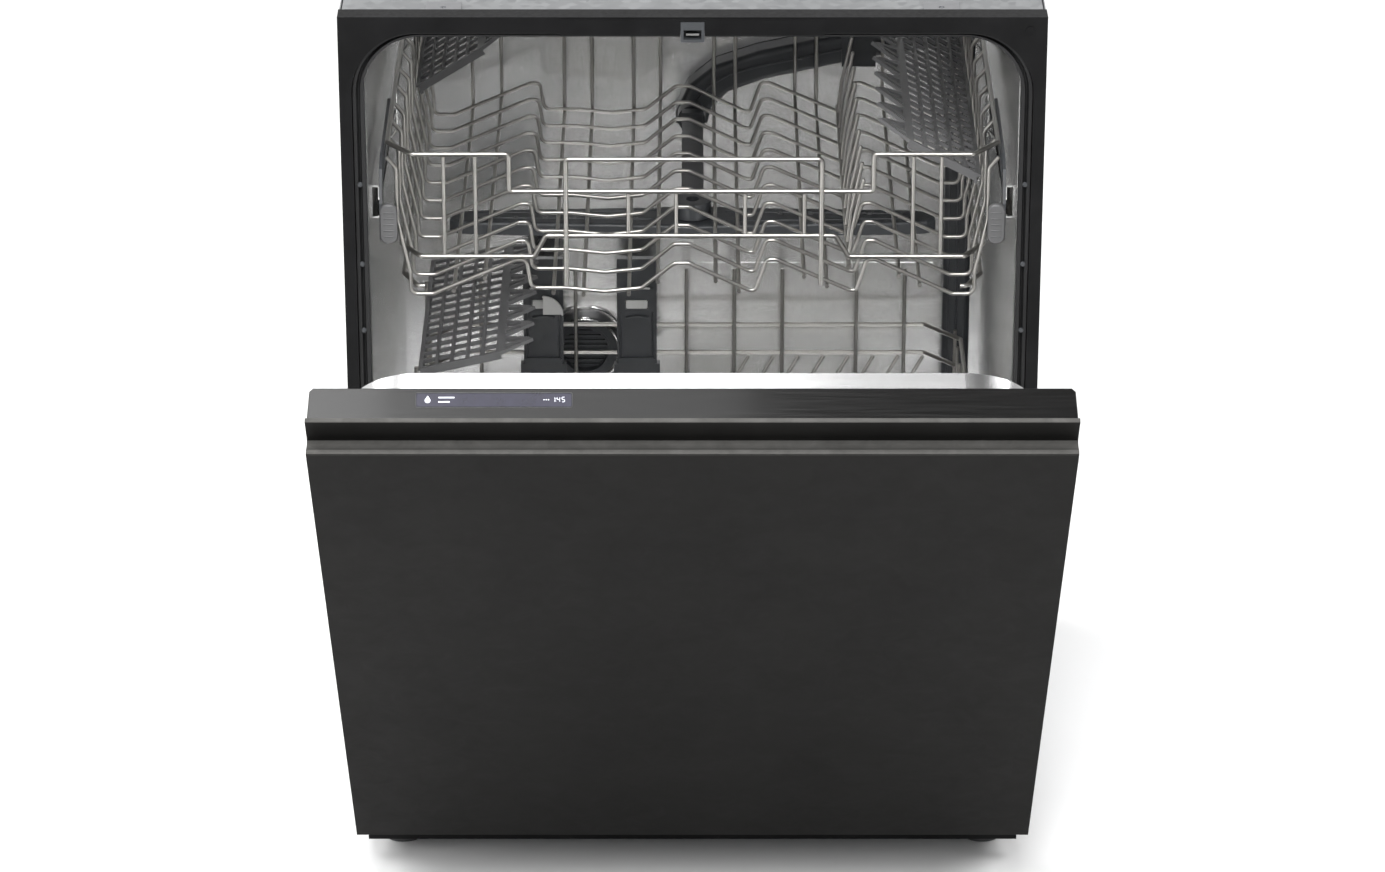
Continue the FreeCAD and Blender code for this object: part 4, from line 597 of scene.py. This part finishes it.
# ---------------------------------------------------------------- height levers: rounded grip tabs
for s, side in ((-1, "left"), (1, "right")):
    bm = bmesh.new()
    loop = [P(s * 260.4 + a, 29.6, 623 + b) for a, b in round_rect(0, 0, 7.4, 18.0, 6.8, 8)]
    slab(bm, loop, (0, -0.0052, 0), 0.0011)
    for k in range(5):
        z = 612 + 5.5 * k
        tube(bm, [P(s * 260.4 - 4.2, 24.4, z), P(s * 260.4, 24.2, z), P(s * 260.4 + 4.2, 24.4, z)], 0.0007, 8)
    slab(bm, [P(s * 264.6, 29.4, z) for z in (612, 634)] + [P(s * 264.6, 44, z) for z in (634, 614)], (s * 0.0040, 0, 0), 0.0004)
    finish_piece("lever_tab_" + side, bm, M["grey_plastic"], "height_lever_" + side)
    bm = bmesh.new()
    tube(bm, [P(s * 265.7, 50, 657), P(s * 265.7, 66, 669), P(s * 265.7, 100, 671.5), P(s * 265.7, 168, 671.5)], 0.0008, 8)
    finish_piece("lever_rib_" + side, bm, M["dark_plastic"], "height_lever_" + side)

# ---------------------------------------------------------------- rear supports of the lower basket
bm = bmesh.new()
for xc in (-142.5, -53.2):
    for dx in (-15.5, 15.5):
        tube(bm, [P(xc + dx, 465.6, 304), P(xc + dx, 465.6, 340), P(xc + dx, 465.6, 355)], 0.0011, 8)
    tube(bm, [P(xc - 10, 465.4, 350), P(xc, 464.7, 351.5), P(xc + 10, 465.4, 350)], 0.0013, 8)
    loop = [P(xc + a, 463.2, 303.5 + b) for a, b in round_rect(0, 0, 17.5, 5.2, 2.6, 5)]
    slab(bm, loop, (0, 0.0032, 0), 0.0004)
    for sg in (-1, 1):
        loop = [P(xc + sg * 15.5 + a, 462.9, 288 + b) for a, b in round_rect(0, 0, 4.2, 5.4, 2.0, 5)]
        slab(bm, loop, (0, 0.004, 0), 0.0005)
finish_piece("support_ribs", bm, M["dark_plastic"], "lower_basket")
bm = bmesh.new()
for xc in (-142.5, -53.2):
    loop = [P(xc + a, 466.4, 363 + b) for a, b in round_rect(0, 0, 10.2, 4.2, 1.6, 5)]
    slab(bm, loop, (0, 0.0016, 0), 0.0003)
    tube(bm, [P(xc - 12, 461.9, 381.4), P(xc, 461.5, 382), P(xc + 12, 461.9, 381.4)], 0.0010, 8)
finish_piece("support_windows", bm, M["light_plastic"], "lower_basket")
bm = bmesh.new()
loop = [P(-142.5, 458, 356)] + [P(-142.5 + 19 * math.cos(math.radians(a)), 458, 356 + 19 * math.sin(math.radians(a))) for a in range(0, 91, 6)]
slab(bm, loop, (0, 0.0018, 0), 0.0003)
tube(bm, [P(-142.5 + 18.4 * math.cos(math.radians(a)), 457.6, 356 + 18.4 * math.sin(math.radians(a))) for a in range(0, 91, 6)], 0.0010, 8)
finish_piece("support_sector", bm, M["light_plastic"], "lower_basket")

# ---------------------------------------------------------------- rounded tips on the folding tines
def tips(name, body, pts):
    bm = bmesh.new()
    for base, tip in pts:
        d = (tip - base).normalized()
        lathe(bm, tip, d, [(0.00178, -0.0012), (0.00182, 0.0), (0.0016, 0.0008), (0.0010, 0.0014), (0, 0.0016)], 12)
    finish_piece(name, bm, M["wire_steel"], body)


WH = 85 - 0.0
tips("tine_tips_upper", "upper_tine_row", [(P(138.5, 72 + 40 * k, 601), P(147.5, 72 + 40 * k, 645)) for k in range(10)])
tips("tine_tips_rear", "plate_tines_rear", [(P(-21 + 23.4 * k, 372, 217.5), P(52 + 23.4 * k, 372, 349.5)) for k in range(8)])
tips("tine_tips_front", "plate_tines_front", [(P(-170 + 23.4 * k, 172, 217.5), P(-150 + 23.4 * k, 172, 311.5)) for k in range(15)])

# ---------------------------------------------------------------- display: generic glyphs
def new_glow():
    m, nt, sh = new_mat("display_glyph")
    sh.inputs["Emission Strength"].default_value = 0.55
    g = noise(nt, coords(nt), 1400, 3, 0.6)
    nt.links.new(ramp(nt, g, [(0.3, (0.62, 0.63, 0.70)), (0.7, (0.80, 0.81, 0.86))]), sh.inputs["Base Color"])
    nt.links.new(ramp(nt, g, [(0.3, (0.62, 0.63, 0.72)), (0.7, (0.80, 0.81, 0.88))]), sh.inputs["Emission Color"])
    nt.links.new(span(nt, g, 0.3, 0.7, 0.25, 0.35), sh.inputs["Roughness"])
    return m


GLOW = new_glow()
top_z = 811.95


def dpt(x, f, up=0.0):
    return R(x, -f, top_z + up)


UPV = (R(0, 0, 1) - R(0, 0, 0)) * 1000.0


def glyph(bm, outline):
    slab(bm, [dpt(x, f) for x, f in outline], UPV * 0.00022)


SEG = {"a": (0, 1), "b": (1, 0), "c": (1, 0), "d": (0, 1), "e": (1, 0), "f": (1, 0), "g": (0, 1)}
DIG = {"0": "abcdef", "1": "bc", "2": "abged", "3": "abgcd", "4": "fgbc", "5": "afgcd", "6": "afgedc", "7": "abc", "8": "abcdefg", "9": "abcdfg"}


def digit(bm, ch, x, f, w=2.1, h=4.2, t=0.42):
    """x grows right, f grows towards the front, which is down on the display."""
    mid = f + h / 2
    bars = {"a": (x, f, x + w, f), "g": (x, mid, x + w, mid), "d": (x, f + h, x + w, f + h),
            "f": (x, f, x, mid), "e": (x, mid, x, f + h), "b": (x + w, f, x + w, mid), "c": (x + w, mid, x + w, f + h)}
    for k in DIG[ch]:
        x0, f0, x1, f1 = bars[k]
        if f0 == f1:
            a, b = x0 + 0.15, x1 - 0.15
            glyph(bm, [(a, f0), (a + t / 2, f0 - t / 2), (b - t / 2, f0 - t / 2), (b, f0), (b - t / 2, f0 + t / 2), (a + t / 2, f0 + t / 2)])
        else:
            a, b = f0 + 0.15, f1 - 0.15
            glyph(bm, [(x0, a), (x0 + t / 2, a + t / 2), (x0 + t / 2, b - t / 2), (x0, b), (x0 - t / 2, b - t / 2), (x0 - t / 2, a + t / 2)])


bm = bmesh.new()
digit(bm, "1", -108.2, 11.0)
digit(bm, "4", -104.4, 11.0)
digit(bm, "5", -100.6, 11.0)
for f in (12.4, 14.2):
    glyph(bm, [(-105.6, f), (-105.1, f), (-105.1, f + 0.5), (-105.6, f + 0.5)])
for k in range(3):
    r0 = 0.5 + 0.0 * k
    glyph(bm, [(x, f) for x, f in round_rect(-114.5 + k * 1.8, 13.3, 0.45, 0.45, 0.4, 4)])
# a water drop and two bars stand where the real machine names its programme
drop = [(-204.2, 9.8)] + [(-204.2 + 2.2 * math.sin(math.radians(a)), 14.0 - 2.2 * math.cos(math.radians(a))) for a in range(50, 311, 20)]
glyph(bm, drop)
for f, w2 in ((11.4, 12.5), (15.2, 9.0)):
    glyph(bm, [(x, y) for x, y in round_rect(-196 + w2 / 2, f, w2 / 2, 0.55, 0.5, 4)])
finish_piece("display_glyphs", bm, GLOW, "door", smooth=False)

bm = bmesh.new()
loop_o = [dpt(x, f, 0.0) for x, f in round_rect(-153, 13.5, 60.4, 6.4, 1.6, 6)]
tube(bm, loop_o, 0.00018, 6, closed=True)
finish_piece("display_edge", bm, M["dark_plastic"], "door")

# ---------------------------------------------------------------- dispenser: lid grip, button, cap grooves, liner swages
bm = bmesh.new()
for k in range(9):
    z = 464 + 7.6 * k
    tube(bm, [R(-71, 24.1, z), R(-66, 24.25, z), R(-61, 24.1, z)], 0.0006, 8)
loop = [R(x, 22.4, z) for x, z in round_rect(-20, 495, 30, 42, 8, 6)]
slab(bm, loop, (R(0, 1, 0) - R(0, 0, 0)) * 0.45, 0.0002)
finish_piece("dispenser_lid_relief", bm, M["grey_plastic"], "dispenser_lid")
bm = bmesh.new()
axis_d = R(0, 1, 0) - R(0, 0, 0)
lathe(bm, R(58, 20.0, 495), axis_d, [(0.0198, 0.0), (0.0198, 0.0006), (0.0184, 0.0012), (0.0170, 0.0006), (0.0168, 0.0)], 48, closed=True)
for k in range(24):
    a = 2 * math.pi * k / 24
    tube(bm, [R(58 + 17.6 * math.cos(a), 20.9, 495 + 17.6 * math.sin(a)), R(58 + 19.2 * math.cos(a), 20.9, 495 + 19.2 * math.sin(a))], 0.0004, 6)
finish_piece("rinse_cap_knurl", bm, M["dark_plastic"], "rinse_aid_cap")
bm = bmesh.new()
for z in (230, 262, 294, 640, 672, 704):
    tube(bm, [R(x, 19.2, z) for x in (-205, -190, -100, 0, 100, 190, 205)], 0.0011, 8, taper=[0.25, 1, 1, 1, 1, 1, 0.25])
for x in (-226, 226):
    tube(bm, [R(x, 19.2, z) for z in (205, 222, 400, 600, 712, 730)], 0.0011, 8, taper=[0.25, 1, 1, 1, 1, 0.25])
finish_piece("liner_swages", bm, M["tub_steel"], "door")
bm = bmesh.new()
for s in (-1, 1):
    for z in (150, 300, 450, 600, 740):
        screw_head(bm, R(s * 284, -3.0, z), axis_d, 0.0033, 0.0016)
finish_piece("liner_screws", bm, M["zinc_steel"], "door")

# ---------------------------------------------------------------- counterbalance springs as real coils
bm = bmesh.new()
for s in (-1, 1):
    pts = []
    turns, per = 34, 12
    for k in range(turns * per + 1):
        a = 2 * math.pi * k / per
        pts.append(P(s * 250 + 7.2 * math.cos(a), 124 + 142 * k / (turns * per), 56 + 7.2 * math.sin(a)))
    tube(bm, pts, 0.0014, 6)
    for y0, y1 in ((112, 124), (266, 274)):
        tube(bm, [P(s * 250 + 7.2, y0 if y0 > 200 else y1, 56), P(s * 250 + 3, (y0 + y1) / 2, 56), P(s * 250, y1 if y0 > 200 else y0, 56)], 0.0014, 6)
finish_piece("door_spring_coils", bm, M["zinc_steel"], "cabinet", replaces=("door_springs",))

# ---------------------------------------------------------------- back: hose thread, spigot barbs; feet nuts
bm = bmesh.new()
c = P(215, 549.5, 74)
lathe(bm, c, (0, 1, 0), [(0.0128, 0.0)] + [(0.0128 + (0.0006 if k % 2 else 0.0), 0.0009 * (k + 1)) for k in range(14)] + [(0.0126, 0.0140), (0.0100, 0.0142), (0.0100, 0.0010)], 48, closed=True)
finish_piece("inlet_thread_ridges", bm, M["zinc_steel"], "cabinet")
bm = bmesh.new()
for k in range(4):
    lathe(bm, P(-215, 552 + 5 * k, 74), (0, 1, 0), [(0.0109, 0.0), (0.0113, 0.0006), (0.0109, 0.0030), (0.0105, 0.0015)], 40, closed=True)
finish_piece("drain_spigot_barbs", bm, M["dark_plastic"], "cabinet")
bm = bmesh.new()
for x in (-264, 264):
    for y in (84, 504):
        lathe(bm, P(x, y, 16), (0, 0, 1), [(0.0052, 0.0), (0.0086, 0.0), (0.0092, 0.0008), (0.0092, 0.0048), (0.0086, 0.0056), (0.0052, 0.0056)], 6, closed=True)
        for k in range(12):
            a = 2 * math.pi * k / 12
            tube(bm, [P(x + 11 * math.cos(a), y + 11 * math.sin(a), 12.2), P(x + 18.3 * math.cos(a), y + 18.3 * math.sin(a), 7.6)], 0.0006, 6)
finish_piece("foot_nuts", bm, M["foot_plastic"], "cabinet")

# ---------------------------------------------------------------- camera, floor, light
cam_data = bpy.data.cameras.new("view")
cam_data.sensor_width = 36
cam_data.lens = 136.42
cam = bpy.data.objects.new("view", cam_data)
scene.collection.objects.link(cam)
cam.location = (0, -4.203, 2.305)
cam.rotation_euler = (math.radians(90 - 24.24), 0, 0)
scene.camera = cam
scene.view_settings.view_transform = "Standard"
scene.view_settings.look = "None"


def floor_mesh():
    bm = bmesh.new()
    # a wide flat floor, open on every side so that the back can be seen too
    prof = [(-14.0, 0.0), (0.0, 0.0), (14.0, 0.0)]
    rows = [[bm.verts.new((x, y, z)) for y, z in prof] for x in (-14, 14)]
    for k in range(len(prof) - 1):
        bm.faces.new((rows[0][k], rows[1][k], rows[1][k + 1], rows[0][k + 1]))
    me = bpy.data.meshes.new("studio_floor")
    bm.to_mesh(me)
    bm.free()
    for f in me.polygons:
        f.use_smooth = True
    o = bpy.data.objects.new("studio_floor", me)
    scene.collection.objects.link(o)
    o.location.z = -0.0005
    m, nt, sh = new_mat("studio_floor")
    sh.inputs["Specular IOR Level"].default_value = 0.1
    nt.links.new(ramp(nt, noise(nt, coords(nt), 3, 3), [(0.3, (0.90, 0.90, 0.90)), (0.7, (0.93, 0.93, 0.93))]), sh.inputs["Base Color"])
    nt.links.new(span(nt, noise(nt, coords(nt), 40, 3), 0.3, 0.7, 0.7, 0.85), sh.inputs["Roughness"])
    me.materials.append(m)
    return o


floor_mesh()

world = bpy.data.worlds.new("studio")
scene.world = world
world.use_nodes = True
wt = world.node_tree
tcw = wt.nodes.new("ShaderNodeTexCoord")
dot = wt.nodes.new("ShaderNodeVectorMath")
dot.operation = "DOT_PRODUCT"
dot.inputs[1].default_value = (0.42, 0.0, 0.907)
wt.links.new(tcw.outputs["Generated"], dot.inputs[0])
wr = wt.nodes.new("ShaderNodeValToRGB")
wr.color_ramp.elements[0].position = 0.15
wr.color_ramp.elements[0].color = (1, 1, 1, 1)
wr.color_ramp.elements[1].position = 0.95
wr.color_ramp.elements[1].color = (0.10, 0.10, 0.10, 1)
wt.links.new(dot.outputs["Value"], wr.inputs["Fac"])
wt.links.new(wr.outputs["Color"], wt.nodes["Background"].inputs[0])
wt.nodes["Background"].inputs[1].default_value = 0.80


def area(name, loc, target, size, power, size_y=None, color=(1, 1, 1)):
    ld = bpy.data.lights.new(name, "AREA")
    ld.energy = power
    ld.color = color
    ld.shape = "RECTANGLE"
    ld.size = size
    ld.size_y = size_y or size
    o = bpy.data.objects.new(name, ld)
    scene.collection.objects.link(o)
    o.location = loc
    o.rotation_euler = (Vector(target) - Vector(loc)).to_track_quat("-Z", "Y").to_euler()
    return o


area("key_top", (-0.2, -1.6, 2.7), (0, -0.05, 0.55), 1.2, 66, size_y=0.9)
area("front_high", (0, -3.4, 2.9), (0, 0.1, 0.5), 1.5, 74)
area("fill_left", (-2.6, -1.4, 1.5), (0, 0, 0.6), 1.4, 12)
area("sweep_left", (-2.3, 1.0, 2.6), (-1.7, 0.8, 0), 1.8, 75)
area("sweep_right", (2.3, 1.0, 2.6), (1.7, 0.8, 0), 1.8, 75)
area("strip_left", (-0.62, -0.72, 1.95), (-0.62, -0.72, 0), 0.62, 3.6, size_y=0.5)
area("strip_mid", (-0.12, -0.72, 1.95), (-0.12, -0.72, 0), 0.36, 0.8, size_y=0.5)
